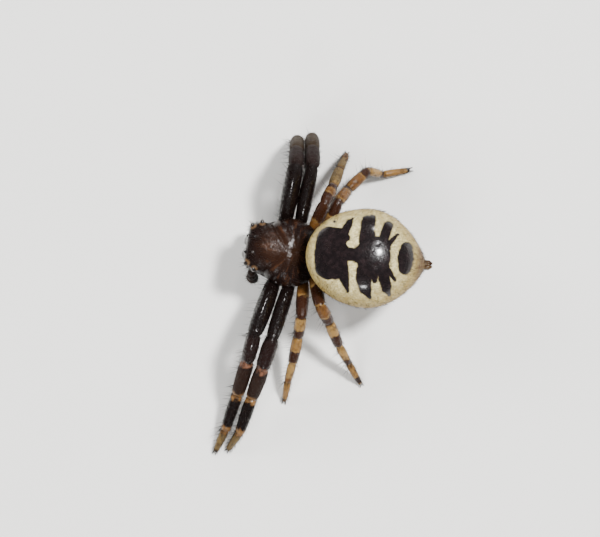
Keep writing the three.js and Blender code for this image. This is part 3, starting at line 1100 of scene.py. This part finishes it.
class Tube(Skin):
    """A jointed tube through several points, rounded at its bends and pinched at its joints."""

    bend_reach: float = 0.85
    least_reach: float = 0.04
    joint_width: float = 0.055
    cap_length: float = 0.85

    def __init__(self, joints: Sequence[Vector], radii: Sequence[Sequence[float]], pinch: float = 0.16,
                 rings: int = 15) -> None:
        """Lays the rings.

        Args:
            joints: The points that the tube runs through.
            radii: For each piece, its half widths at even steps.
            pinch: How far the joints are drawn in, as a share of the half width.
            rings: How many rings each piece has.
        """
        self.joints = [Vector(joint) for joint in joints]
        self.radii = radii
        self.pinch = pinch
        self.rings: list[Ring] = []
        ways = [(b - a).normalized() for a, b in zip(self.joints, self.joints[1:])]
        up = self.first_up(ways[0])
        count = len(ways)
        for index, way in enumerate(ways):
            length = (self.joints[index + 1] - self.joints[index]).length
            for step in range(rings):
                share = self.even_share((step + 0.5) / rings)
                radius = self.profile(radii[index], share)
                tilt = way.copy()
                centre = self.joints[index].lerp(self.joints[index + 1], share)
                for other, gap in ((index - 1, share * length), (index + 1, (1 - share) * length)):
                    if not 0 <= other < count:
                        continue
                    reach = radius * way.angle(ways[other]) * self.bend_reach + self.least_reach
                    tilt = tilt.lerp(ways[other], 0.5 * (1 - smooth(gap, 0.0, reach)))
                    radius *= 1 - self.pinch * bell(gap, self.joint_width)
                tilt.normalize()
                up = (up - tilt * up.dot(tilt)).normalized()
                self.rings.append(Ring(centre, tilt, up.copy(), radius, (index + share) / count))
        self.close_ends()

    @staticmethod
    def first_up(way: Vector) -> Vector:
        """The way up across the first piece."""
        return (UP - way * UP.dot(way)).normalized()

    @staticmethod
    def even_share(step: float) -> float:
        """Draws the rings closer near both ends of a piece."""
        return step - 0.1045 * math.sin(2 * math.pi * step)

    @staticmethod
    def profile(radii: Sequence[float], share: float) -> float:
        """The half width at a share of a piece.

        Args:
            radii: Half widths at even steps.
            share: The share.

        Returns:
            The half width, smoothly between the steps.
        """
        place = share * (len(radii) - 1)
        low = min(int(place), len(radii) - 2)
        return radii[low] + (radii[low + 1] - radii[low]) * smooth(place - low, 0.0, 1.0)

    def close_ends(self) -> None:
        """Rounds both ends with a few shrinking rings."""
        for at_end in (False, True):
            ring = self.rings[-1 if at_end else 0]
            tip = self.joints[-1 if at_end else 0]
            way = ring.along if at_end else -ring.along
            base = (tip - ring.centre).length
            for step in (0.45, 0.75, 0.93, 1.0):
                swell = ring.radius * math.sqrt(max(0.0, 1 - step ** 2))
                reach = base + ring.radius * self.cap_length * step
                cap = Ring(ring.centre + way * reach, ring.along, ring.up, swell, 1.0 if at_end else 0.0)
                if at_end:
                    self.rings.append(cap)
                else:
                    self.rings.insert(0, cap)

    def ring_at(self, along: float) -> Ring:
        """The ring at a share of the rings, between its neighbours.

        Args:
            along: The share, from the first ring to the last.

        Returns:
            A ring blended from the two nearest.
        """
        place = min(max(along, 0.0), 1.0) * (len(self.rings) - 1)
        low = min(int(place), len(self.rings) - 2)
        a, b, t = self.rings[low], self.rings[low + 1], place - low
        return Ring(a.centre.lerp(b.centre, t), a.along.lerp(b.along, t).normalized(),
                    a.up.lerp(b.up, t).normalized(), a.radius + (b.radius - a.radius) * t,
                    a.share + (b.share - a.share) * t)

    def point(self, around: float, along: float) -> Vector:
        """The tube's skin, kept above the floor.

        Args:
            around: The share round the skin.
            along: The share along it.

        Returns:
            The point.
        """
        ring = self.ring_at(along)
        angle = around * 2 * math.pi
        side = ring.along.cross(ring.up)
        place = ring.centre + (ring.up * math.sin(angle) + side * math.cos(angle)) * ring.radius
        place.z = max(place.z, 0.0)
        return place

    def heart(self, along: float) -> Vector:
        """The middle of the tube."""
        return self.ring_at(along).centre

    def mesh(self, around: int, map_name: str) -> bmesh.types.BMesh:
        """Makes the tube's skin.

        Args:
            around: Faces round it.
            map_name: Its map, whose second coordinate runs in equal shares through the pieces.

        Returns:
            The mesh.
        """
        made = wrap(around, len(self.rings) - 1, self.point, map_name)
        layer = made.loops.layers.uv[map_name]
        last = len(self.rings) - 1
        for face in made.faces:
            for loop in face.loops:
                u, v = loop[layer].uv
                loop[layer].uv = (u, self.rings[round(v * last)].share)
        return made


def place_from(forward: float, sideways: float, height: float, side: Side) -> Vector:
    """A point given as forward, sideways and height on one side."""
    return Vector((side.value * sideways, -forward, height))


@dataclass(frozen=True)
class TubePlan:
    """A small tube as joints forward, sideways and up, half widths of its pieces, pinch and rings."""

    joints: tuple[Point, ...]
    radii: tuple[tuple[float, ...], ...]
    pinch: float
    rings: int

    def lay(self, side: Side) -> Tube:
        """Lays the tube on one side."""
        return Tube([place_from(*joint, side) for joint in self.joints], self.radii, self.pinch, self.rings)


def direction(side: Side, turn: float, rise: float) -> Vector:
    """The way that a leg piece points.

    Args:
        side: The leg's side.
        turn: The turn back from straight out, in degrees.
        rise: The rise, in degrees.

    Returns:
        The unit vector.
    """
    turned, raised = math.radians(turn), math.radians(rise)
    flat = math.cos(raised)
    return Vector((side.value * flat * math.cos(turned), flat * math.sin(turned), math.sin(raised)))


@dataclass
class Leg:
    """One leg from coxa to claws, of a side and a pair that counts from 1 in front."""

    side: Side
    number: int
    claw_arc: tuple[tuple[float, float], ...] = ((0.0, 0.02), (0.07, 0.035), (0.13, 0.01), (0.155, -0.045))
    claw_radii: tuple[tuple[float, ...], ...] = ((0.020, 0.018), (0.018, 0.014), (0.013, 0.005))
    claw_gap: float = 0.045
    claw_spread: float = 0.2
    claw_floor: float = 0.018

    def __post_init__(self) -> None:
        """Works out the leg's joints and lays its tube."""
        side, number = self.side, self.number
        self.name = f"{side.word}_{number}"
        pair, pose = PAIRS[number], POSES[side, number]
        joints = [place_from(*pair.coxa, COXA_HEIGHT, side), place_from(*pair.hip, HIP_HEIGHT, side)]
        steps = (pose.femur, pose.patella, pose.tibia, pose.metatarsus)
        for length, (turn, rise) in zip(pair.lengths, steps):
            joints.append(joints[-1] + direction(side, turn, rise) * length)
        slope = -math.degrees(math.asin((joints[-1].z - FOOT_HEIGHT) / pair.lengths[-1]))
        joints.append(joints[-1] + direction(side, pose.tarsus_turn, slope) * pair.lengths[-1])
        radii = [[share * radius for share in FORMS[piece]] for piece, radius in zip(PIECES, pair.radii)]
        self.tube = Tube(joints, radii)

    def build(self, finish: bpy.types.Material) -> None:
        """Makes the leg's skin.

        Args:
            finish: Its material.
        """
        nodes = [f"{self.name}_{piece}" for piece in ("coxa", "femur", "patella", "tibia", "foot")]
        slot = "dark_shell" if self.number < 3 else "brown_shell"
        Pieces.add(f"{self.name}_leg_skin", self.tube.mesh(32, "LegMap"), finish, slot, nodes)

    def build_claws(self, finish: bpy.types.Material) -> None:
        """Makes the pair of claws at the tarsus tip.

        Args:
            finish: Their material.
        """
        tip = self.tube.rings[-3]
        ahead = tip.along.copy()
        ahead.z = 0.0
        ahead.normalize()
        across = ahead.cross(UP)
        made = bmesh.new()
        for sign in (1, -1):
            root = tip.centre + across * (self.claw_gap * sign) + UP * 0.01
            arc = [root + ahead * reach + UP * lift + across * (self.claw_spread * sign * reach)
                   for reach, lift in self.claw_arc]
            for point in arc:
                point.z = max(point.z, self.claw_floor)
            join(made, Tube(arc, self.claw_radii, 0.0, 4).mesh(10, "ClawMap"))
        Pieces.add(f"{self.name}_claws", made, finish, "dark_shell")


@dataclass(frozen=True)
class Body:
    """Carapace, underside, waist, abdomen and spinnerets."""

    carapace: CarapaceSkin = CarapaceSkin()
    abdomen: AbdomenSkin = AbdomenSkin()
    sternum_half_width: float = 0.66
    sternum_half_length: float = 1.20
    sternum_height: float = 1.98
    sternum_down: float = 0.56
    sternum_up: float = 0.40
    mouth_plate: TubePlan = TubePlan(((0.72, 0.42, 1.66), (1.02, 0.34, 1.56), (1.22, 0.20, 1.52)),
                                     ((0.15, 0.17, 0.16), (0.16, 0.15, 0.10)), 0.0, 10)
    waist: TubePlan = TubePlan(((-1.05, 0.0, 2.02), (-1.55, 0.0, 2.32), (-2.10, 0.0, 2.66)),
                               ((0.20, 0.18, 0.17), (0.17, 0.18, 0.21)), 0.10, 12)
    spinneret_stem: tuple[Point, ...] = ((0.0, -0.35, 0.02), (0.0, 0.02, 0.0))
    tail_lobe: tuple[Point, ...] = ((0.0, -0.16, 0.13), (0.0, 0.10, 0.12))
    fingers: tuple[tuple[float, ...], ...] = (
        (0.085, -0.075, 0.18, 0.105), (0.078, 0.070, 0.20, 0.098), (0.030, 0.0, 0.13, 0.05),
    )

    def build_carapace(self, finish: bpy.types.Material) -> None:
        """Makes the shield."""
        mesh = wrap(160, 110, self.carapace.point, "SkinMap")
        Pieces.add("carapace_shield", mesh, finish, "carapace", ["cephalothorax"])

    def build_abdomen(self, finish: bpy.types.Material) -> None:
        """Makes the abdomen."""
        mesh = wrap(190, 150, self.abdomen.point, "SkinMap")
        Pieces.add("abdomen_skin", mesh, finish, "abdomen", ["abdomen"])

    def build_underside(self, finish: bpy.types.Material) -> None:
        """Makes the sternum and the two mouth plates in front of it.

        Args:
            finish: Their material.
        """
        sternum = bmesh.new()
        bmesh.ops.create_uvsphere(sternum, u_segments=64, v_segments=40, radius=1.0)
        for vertex in sternum.verts:
            point = vertex.co
            narrow = 1.0 - 0.30 * smooth(point.y, 0.1, 1.0) - 0.12 * smooth(-point.y, 0.4, 1.0)
            depth = self.sternum_down if point.z < 0 else self.sternum_up
            flat = math.copysign(abs(point.z) ** 0.8, point.z)
            vertex.co = Vector((point.x * narrow * self.sternum_half_width,
                                point.y * self.sternum_half_length, flat * depth + self.sternum_height))
        Pieces.add("sternum_plate", sternum, finish, "dark_shell")
        for side in Side:
            mesh = self.mouth_plate.lay(side).mesh(24, "SkinMap")
            Pieces.add(f"mouth_plate_{side.word}", mesh, finish, "brown_shell")

    def build_waist(self, finish: bpy.types.Material) -> None:
        """Makes the pedicel."""
        mesh = self.waist.lay(Side.LEFT).mesh(28, "SkinMap")
        Pieces.add("waist_skin", mesh, finish, "soft_skin", ["pedicel"])

    def build_spinnerets(self, finish: bpy.types.Material) -> None:
        """Makes the spinnerets and the small lobe above them, on a short stem.

        Args:
            finish: Their material.
        """
        tip = ABDOMEN.rear_length
        low = ABDOMEN.middle - ABDOMEN.rear_drop
        whole = bmesh.new()
        tubes = [(self.spinneret_stem, [0.25, 0.24, 0.19]), (self.tail_lobe, [0.12, 0.10, 0.06])]
        for sideways, height, length, radius in self.fingers:
            for side in Side:
                start = (side.value * sideways, -0.05, height)
                middle = (side.value * sideways * 1.15, length * 0.5, height * 1.05)
                end = (side.value * sideways * 0.8, length, height * 0.7)
                tubes.append(([start, middle, end], [radius, radius, radius * 0.62]))
        for points, radii in tubes:
            joints = [AbdomenSkin.set_in_place(Vector((x, tip + y, low + z))) for x, y, z in points]
            pieces = [radii] if len(joints) == 2 else [radii[:2], radii[1:]]
            join(whole, Tube(joints, pieces, 0.06, 8).mesh(18, "SkinMap"))
        Pieces.add("spinneret_cluster", whole, finish, "brown_shell", ["spinnerets"])


PALP_RADII = ((0.12, 0.15, 0.16, 0.15), (0.15, 0.17, 0.15), (0.15, 0.18, 0.18), (0.19, 0.23, 0.22, 0.15))


@dataclass
class Mouthparts:
    """Chelicerae with their fangs, and the palps."""

    palps: dict[Side, Tube] = field(init=False)
    left_palp: TubePlan = TubePlan(
        ((0.98, 0.50, 1.72), (1.08, 0.88, 1.92), (1.11, 1.01, 1.76), (1.08, 1.07, 1.50), (1.02, 1.08, 1.06)),
        PALP_RADII, 0.18, 10)
    right_palp: TubePlan = TubePlan(
        ((0.98, 0.50, 1.72), (1.14, 0.80, 1.88), (1.22, 0.85, 1.70), (1.26, 0.83, 1.44), (1.27, 0.78, 1.00)),
        PALP_RADII, 0.18, 10)
    chelicera: TubePlan = TubePlan(((1.16, 0.275, 2.42), (1.34, 0.265, 1.95), (1.46, 0.245, 1.50)),
                                   ((0.23, 0.25, 0.25), (0.25, 0.24, 0.20, 0.14)), 0.0, 14)
    fang: TubePlan = TubePlan(
        ((1.46, 0.24, 1.46), (1.47, 0.20, 1.36), (1.42, 0.13, 1.27), (1.36, 0.10, 1.22)),
        ((0.065, 0.055), (0.055, 0.035), (0.033, 0.010)), 0.0, 6)

    def __post_init__(self) -> None:
        """Lays out both palps."""
        self.palps = {Side.LEFT: self.left_palp.lay(Side.LEFT), Side.RIGHT: self.right_palp.lay(Side.RIGHT)}

    def build_chelicerae(self, finish: bpy.types.Material, fang_finish: bpy.types.Material) -> None:
        """Makes the stout basal pieces and the curved fangs.

        Args:
            finish: The basal pieces' material.
            fang_finish: The fangs' material.
        """
        for side in Side:
            name = f"chelicera_{side.word}"
            base = self.chelicera.lay(side).mesh(36, "SkinMap")
            Pieces.add(f"{name}_base", base, finish, "dark_shell", [name])
            horn = self.fang.lay(side).mesh(16, "SkinMap")
            Pieces.add(f"fang_{side.word}", horn, fang_finish, "brown_shell")

    def build_palps(self, finish: bpy.types.Material) -> None:
        """Makes both palps.

        Args:
            finish: Their material.
        """
        for side, palp in self.palps.items():
            name = f"palp_{side.word}"
            Pieces.add(f"{name}_skin", palp.mesh(28, "LegMap"), finish, "dark_shell", [name])


@dataclass(frozen=True)
class BristleKind:
    """Length, thickness, lean back along the skin and droop of one kind of bristle."""

    length: float
    width: float
    lean: float
    droop: float = 0.15
    spread: float = 0.35


@dataclass
class Bristles:
    """Bristles joined into one mesh, each with a small patch of the map at its root's place."""

    seed: int
    patch: float = 0.003
    sides: int = 4
    steps: int = 4
    least_height: float = 0.004

    def __post_init__(self) -> None:
        """Makes the plain bristle that every other one copies."""
        self.draw = random.Random(self.seed)
        plain = bmesh.new()
        bmesh.ops.create_cone(plain, segments=self.sides, radius1=1.0, radius2=0.12, depth=1.0, cap_ends=True)
        rising = [edge for edge in plain.edges if abs(edge.verts[0].co.z - edge.verts[1].co.z) > 0.5]
        bmesh.ops.subdivide_edges(plain, edges=rising, cuts=self.steps - 1)
        bmesh.ops.triangulate(plain, faces=plain.faces)
        bmesh.ops.translate(plain, verts=plain.verts, vec=(0.0, 0.0, 0.5))
        plain.verts.ensure_lookup_table()
        self.plain = np.array([tuple(vertex.co) for vertex in plain.verts])
        self.faces = np.array([[vertex.index for vertex in face.verts] for face in plain.faces])
        plain.free()
        self.points: list[np.ndarray] = []
        self.places: list[tuple[float, float]] = []

    def grow(self, skin: Skin, around: float, along: float, kind: BristleKind, way: float = 1.0) -> None:
        """Adds one bristle.

        Args:
            skin: The skin that it grows from.
            around: Its root's share round the skin.
            along: Its root's share along it.
            kind: Its kind.
            way: 1 to lean towards the skin's last end, -1 towards its first.
        """
        root, out, run = skin.outward(around, along)
        if run.length < 0.5:
            return
        side = out.cross(run)
        drift = self.draw.gauss(0.0, kind.spread)
        lean = kind.lean + self.draw.gauss(0.0, 0.12)
        rise = (out + run * (way * lean) + side * drift).normalized()
        bend = (run * way - out * 0.4) * kind.droop
        length = kind.length * self.draw.uniform(0.7, 1.25)
        across = rise.cross(out if abs(rise.dot(out)) < 0.98 else run).normalized()
        other = rise.cross(across)
        width = kind.width * self.draw.uniform(0.8, 1.15)
        taper = self.plain[:, 0:2] * (width * (1 - 0.75 * self.plain[:, 2:3] ** 1.5))
        height = self.plain[:, 2:3]
        points = np.array(root - out * (width * 0.8)) + taper[:, 0:1] * np.array(across)
        points = points + taper[:, 1:2] * np.array(other) + height * length * np.array(rise)
        points = points + (height ** 2) * length * np.array(bend)
        if points[:, 2].min() < self.least_height:
            return
        self.points.append(points)
        self.places.append((around % 1.0, along))

    def build(self, name: str, finish: bpy.types.Material, slot: str) -> None:
        """Joins the bristles into one piece.

        Args:
            name: The piece's name.
            finish: Its material.
            slot: The name of a material slot, which is not used.
        """
        count, each = len(self.points), len(self.plain)
        shift = np.array(SHIFT)
        points = (np.concatenate(self.points) + shift) * MM
        faces = np.concatenate([self.faces + each * index for index in range(count)])
        data = bpy.data.meshes.new(name)
        data.from_pydata(points.tolist(), [], faces.tolist())
        layer = data.uv_layers.new(name="OFBake")
        flat = self.plain[:, 0:2] * 0.5 * self.patch
        spots = np.concatenate([flat + np.array(place) for place in self.places])
        corners = np.clip(spots[faces.ravel()], 0.0, 1.0)
        layer.data.foreach_set("uv", corners.ravel())
        for polygon in data.polygons:
            polygon.use_smooth = True
        Pieces.dress(name, data, finish, slot)


@dataclass(frozen=True)
class Coat:
    """Every bristle of the spider, with how many tries each part and kind gets."""

    body: Body
    legs: Sequence[Leg]
    mouth: Mouthparts
    finish: bpy.types.Material
    shield_short: int = 300
    shield_long: int = 60
    abdomen_fine: int = 2600
    palp_fine: int = 260
    front_leg: tuple[int, int] = (900, 90)
    hind_leg: tuple[int, int] = (620, 30)

    def build(self) -> None:
        """Grows the coat of the carapace, abdomen, legs and palps."""
        self.grow_carapace()
        self.grow_abdomen()
        for index, leg in enumerate(self.legs):
            self.grow_leg(leg, 40 + index)
        self.grow_palps()

    def grow_carapace(self) -> None:
        """Sparse bristles over the shield, longest round the face."""
        coat = Bristles(11)
        short = BristleKind(0.15, 0.0065, 0.9)
        long = BristleKind(0.32, 0.010, -0.5, 0.1)
        for _ in range(self.shield_short):
            around = coat.draw.uniform(0.03, 0.47)
            along = coat.draw.uniform(0.12, 0.85)
            coat.grow(self.body.carapace, around, along, short)
        for _ in range(self.shield_long):
            coat.grow(self.body.carapace, coat.draw.uniform(0.02, 0.48), coat.draw.uniform(0.10, 0.30), long)
        coat.build("carapace_bristles", self.finish, "dark_shell")

    def grow_abdomen(self) -> None:
        """Short, fine bristles all over the abdomen, leaning back."""
        coat = Bristles(12)
        fine = BristleKind(0.15, 0.0065, 1.0)
        for _ in range(self.abdomen_fine):
            along = math.acos(1 - 2 * coat.draw.uniform(0.01, 0.985)) / math.pi
            coat.grow(self.body.abdomen, coat.draw.random(), along, fine)
        coat.build("abdomen_bristles", self.finish, "dark_shell")

    def grow_leg(self, leg: Leg, seed: int) -> None:
        """Fine bristles along a leg, with stout pairs under the shanks of the front legs.

        Args:
            leg: The leg.
            seed: Where its random draws start.
        """
        coat = Bristles(seed)
        front = leg.number < 3
        fines, talls = self.front_leg if front else self.hind_leg
        fine = BristleKind(0.17 if front else 0.15, 0.0065, 0.9)
        stout = BristleKind(0.36, 0.016, 0.9, 0.2, 0.12)
        tall = BristleKind(0.44, 0.0080, 0.35, 0.1, 0.3)
        for _ in range(fines):
            coat.grow(leg.tube, coat.draw.random(), coat.draw.uniform(0.16, 0.985), fine)
        ahead = 0.0 if leg.side is Side.LEFT else 0.5
        for _ in range(talls):
            around = (ahead + coat.draw.gauss(0.0, 0.10)) % 1.0
            coat.grow(leg.tube, around, coat.draw.uniform(0.2, 0.9), tall)
        if front:
            for start, end in ((0.52, 0.64), (0.69, 0.81)):
                for step in range(5):
                    along = start + (end - start) * step / 4
                    for around in (0.66, 0.84):
                        coat.grow(leg.tube, around, along, stout)
        coat.build(f"{leg.name}_bristles", self.finish, "dark_shell")

    def grow_palps(self) -> None:
        """Bristles on the palps, thickest at their tips."""
        coat = Bristles(13)
        fine = BristleKind(0.16, 0.008, 0.7)
        for palp in self.mouth.palps.values():
            for _ in range(self.palp_fine):
                coat.grow(palp, coat.draw.random(), coat.draw.uniform(0.25, 0.97) ** 0.8, fine)
        coat.build("palp_bristles", self.finish, "dark_shell")


@dataclass(frozen=True)
class Lamp:
    """A square light that points at the floor under the spider, and may be mirrored in shiny pieces."""

    name: str
    place: Point
    size: float
    power: float
    mirrored: bool = True


@dataclass(frozen=True)
class Studio:
    """Floor, light and camera."""

    azimuth: float = 100.0
    elevation: float = 83.0
    pixel: float = 0.0387
    image_width: int = 600
    image_height: int = 537
    sternum_pixel: tuple[float, float] = (284.0, 253.0)
    sternum_height: float = 2.0
    distance: float = 300.0
    surround: Colour = (0.93, 0.96, 1.0)
    surround_strength: float = 0.28
    lamps: tuple[Lamp, ...] = (
        Lamp("key_light", (-100.0, 130.0, 340.0), 52.0, 3.1),
        Lamp("fill_light", (240.0, -120.0, 260.0), 160.0, 0.9, False),
        Lamp("rim_light", (-60.0, -260.0, 140.0), 120.0, 0.6, False),
        Lamp("left_glint", (330.0, 20.0, 225.0), 32.0, 0.28),
        Lamp("right_glint", (-335.0, 20.0, 215.0), 32.0, 0.28),
    )

    def build(self) -> None:
        """Makes the floor, the lights and the camera."""
        self.build_floor()
        self.build_lights()
        self.build_camera()

    def build_floor(self) -> None:
        """Makes a plain pale floor."""
        mesh = bmesh.new()
        bmesh.ops.create_grid(mesh, x_segments=2, y_segments=2, size=0.5)
        data = bpy.data.meshes.new("floor")
        mesh.to_mesh(data)
        mesh.free()
        shader = Shader("pale_floor")
        place = shader.millimetres()
        cloud = shader.noise(place, 0.08, 2.0)
        shade = shader.mix(cloud, (0.78, 0.77, 0.74), (0.82, 0.81, 0.78))
        shader.finish(shade, 0.75, cloud, 0.001)
        data.materials.append(shader.material)
        floor = bpy.data.objects.new("floor", data)
        bpy.context.scene.collection.objects.link(floor)

    def build_lights(self) -> None:
        """Makes the lamps and a dim, even surround."""
        for lamp in self.lamps:
            data = bpy.data.lights.new(lamp.name, "AREA")
            data.size = lamp.size * MM
            data.energy = lamp.power
            light = bpy.data.objects.new(lamp.name, data)
            light.location = Vector(lamp.place) * MM
            light.rotation_mode = "QUATERNION"
            light.rotation_quaternion = (-Vector(lamp.place)).to_track_quat("-Z", "Y")
            light.visible_glossy = lamp.mirrored
            bpy.context.scene.collection.objects.link(light)
        world = bpy.data.worlds.new("surround")
        world.use_nodes = True
        backdrop = world.node_tree.nodes["Background"]
        backdrop.inputs["Color"].default_value = (*self.surround, 1.0)
        backdrop.inputs["Strength"].default_value = self.surround_strength
        bpy.context.scene.world = world

    def build_camera(self) -> None:
        """Looks down on the spider from the photograph's side, with its sternum at the same pixel."""
        azimuth, elevation = math.radians(self.azimuth), math.radians(self.elevation)
        flat = math.cos(elevation)
        back = Vector((math.sin(azimuth) * flat, -math.cos(azimuth) * flat, math.sin(elevation)))
        right = Vector((math.cos(azimuth), math.sin(azimuth), 0.0))
        up = back.cross(right)
        across = (self.image_width / 2 - self.sternum_pixel[0]) * self.pixel
        rise = (self.sternum_pixel[1] - self.image_height / 2) * self.pixel
        target = UP * self.sternum_height + SHIFT + right * across + up * rise
        data = bpy.data.cameras.new("camera")
        data.sensor_width = 36.0
        data.lens = data.sensor_width * self.distance / (self.image_width * self.pixel)
        data.clip_start = 1.0 * MM
        data.clip_end = 10.0
        camera = bpy.data.objects.new("camera", data)
        camera.rotation_mode = "QUATERNION"
        camera.location = (target + back * self.distance) * MM
        turn = Matrix((right, up, back)).transposed()
        camera.rotation_quaternion = turn.to_quaternion()
        bpy.context.scene.collection.objects.link(camera)
        bpy.context.scene.camera = camera


NEAR_BLACK: Colour = (0.0045, 0.0026, 0.0023)
DARK_BROWN: Colour = (0.015, 0.0065, 0.004)
PURPLE_BROWN: Colour = (0.011, 0.0055, 0.0048)
TAN: Colour = (0.17, 0.085, 0.030)
ROSY: Colour = (0.16, 0.070, 0.040)
OLIVE: Colour = (0.105, 0.068, 0.026)
OLIVE_SHADE: Colour = (0.028, 0.017, 0.008)
STRAW: Colour = (0.235, 0.135, 0.042)
CHESTNUT: Colour = (0.024, 0.0085, 0.004)
AMBER: Colour = (0.105, 0.046, 0.012)
ORANGE_TAN: Colour = (0.19, 0.098, 0.027)
DULL_OLIVE: Colour = (0.075, 0.046, 0.020)
WAIST_TAN: Colour = (0.16, 0.10, 0.06)
WAIST_SHADE: Colour = (0.07, 0.04, 0.03)
BRISTLE_BLACK: Colour = (0.009, 0.006, 0.005)
BRISTLE_BROWN: Colour = (0.022, 0.013, 0.009)

# A stretch of a leg that is not on it, for the legs that are glossy all along.
BEYOND_THE_TIP = (6.5, 7.0)


def leg_finishes() -> dict[tuple[Side, int], LegFinish]:
    """Chooses each leg's bands, in pieces from the body: 1 is the hip, 2 the knee, 6 the tip.

    Returns:
        The finish of each leg.
    """
    front = (
        Band(2.10, 2.90, PURPLE_BROWN), Band(2.97, 3.07, ROSY), Band(3.14, 3.86, DARK_BROWN),
        Band(3.88, 4.14, TAN), Band(4.16, 4.86, NEAR_BLACK), Band(4.88, 5.12, TAN),
        Band(5.14, 6.0, OLIVE),
    )
    folded = (
        Band(2.02, 2.94, PURPLE_BROWN), Band(2.98, 3.92, OLIVE_SHADE),
        Band(3.95, 4.10, TAN), Band(4.12, 4.9, NEAR_BLACK), Band(4.92, 6.0, OLIVE),
    )
    third_left = (
        Band(0.0, 1.1, CHESTNUT), Band(1.1, 1.45, AMBER), Band(1.50, 2.10, CHESTNUT),
        Band(2.16, 2.52, STRAW), Band(2.56, 2.98, CHESTNUT), Band(3.02, 3.46, ORANGE_TAN),
        Band(3.50, 3.92, CHESTNUT), Band(3.98, 4.62, STRAW), Band(4.70, 4.98, AMBER),
        Band(5.02, 5.85, ORANGE_TAN), Band(5.90, 6.0, DARK_BROWN),
    )
    fourth_left = (
        Band(0.0, 1.1, CHESTNUT), Band(1.1, 1.40, AMBER), Band(1.46, 1.98, CHESTNUT),
        Band(2.03, 2.50, AMBER), Band(2.56, 3.02, CHESTNUT), Band(3.06, 3.42, STRAW),
        Band(3.48, 3.95, CHESTNUT), Band(4.0, 4.62, STRAW), Band(4.70, 5.0, CHESTNUT),
        Band(5.04, 5.60, ORANGE_TAN), Band(5.68, 6.0, DARK_BROWN),
    )
    third_right = (
        Band(0.0, 1.2, CHESTNUT), Band(1.2, 1.50, AMBER), Band(1.52, 2.45, CHESTNUT),
        Band(2.48, 2.70, AMBER), Band(2.72, 3.02, CHESTNUT), Band(3.06, 3.86, OLIVE),
        Band(3.90, 4.05, CHESTNUT), Band(4.08, 4.90, OLIVE), Band(4.96, 6.0, AMBER),
    )
    fourth_right = (
        Band(0.0, 1.1, CHESTNUT), Band(1.15, 1.60, AMBER), Band(1.66, 2.10, CHESTNUT),
        Band(2.14, 2.70, AMBER), Band(2.74, 3.04, CHESTNUT), Band(3.08, 3.60, AMBER),
        Band(3.64, 3.98, CHESTNUT), Band(4.03, 4.66, STRAW), Band(4.74, 5.0, CHESTNUT),
        Band(5.05, 5.84, ORANGE_TAN), Band(5.88, 6.0, NEAR_BLACK),
    )
    made = {}
    bands = {
        (Side.LEFT, 1): front, (Side.LEFT, 2): front, (Side.LEFT, 3): third_left, (Side.LEFT, 4): fourth_left,
        (Side.RIGHT, 1): folded, (Side.RIGHT, 2): folded, (Side.RIGHT, 3): third_right,
        (Side.RIGHT, 4): fourth_right,
    }
    matte = {
        (Side.LEFT, 1): (3.05, 3.90), (Side.LEFT, 2): (3.05, 3.90), (Side.RIGHT, 1): (1.9, 6.0),
        (Side.RIGHT, 2): (1.9, 6.0), (Side.RIGHT, 3): (3.0, 6.2),
    }
    for (side, number), rings in bands.items():
        name = f"banded_leg_{side.word}_{number}"
        dull = matte.get((side, number), BEYOND_THE_TIP)
        if number > 2:
            made[side, number] = LegFinish(name, STRAW, rings, dull, CHESTNUT, 0.75, 0.26, gloss=0.35)
        else:
            made[side, number] = LegFinish(name, NEAR_BLACK, rings, dull, specular=0.09, gloss=0.85)
    return made


def main() -> None:
    """Builds the spider in order."""
    logging.basicConfig(level=logging.INFO, format="%(message)s")
    Studio().build()
    corners = [onto_frame(mound.place) / MM for mound in Eyes.mounds() if mound.rise > 0.1]
    dark = PlainShellFinish("dark_shell", NEAR_BLACK, DARK_BROWN).build()
    brown = PlainShellFinish("brown_shell", DULL_OLIVE, CHESTNUT, specular=0.2).build()
    soft = PlainShellFinish("soft_waist_skin", WAIST_TAN, WAIST_SHADE, 0.5).build()
    bristle = PlainShellFinish("bristle", BRISTLE_BLACK, BRISTLE_BROWN, 0.4, 0.001, specular=0.16).build()
    body = Body()
    body.build_carapace(ShellFinish().build(corners))
    body.build_underside(dark)
    body.build_waist(soft)
    body.build_abdomen(AbdomenFinish().build())
    body.build_spinnerets(brown)
    Eyes().build(LensFinish().build())
    mouth = Mouthparts()
    mouth.build_chelicerae(dark, PlainShellFinish("fang_shell", CHESTNUT, NEAR_BLACK, 0.2).build())
    mouth.build_palps(PlainShellFinish("palp_shell", NEAR_BLACK, DARK_BROWN, 0.34, specular=0.07).build())
    finishes = leg_finishes()
    legs = [Leg(side, number) for side, number in POSES]
    for leg in legs:
        leg.build(finishes[leg.side, leg.number].build())
        leg.build_claws(dark)
    Coat(body, legs, mouth, bristle).build()


if __name__ == "__main__":
    main()
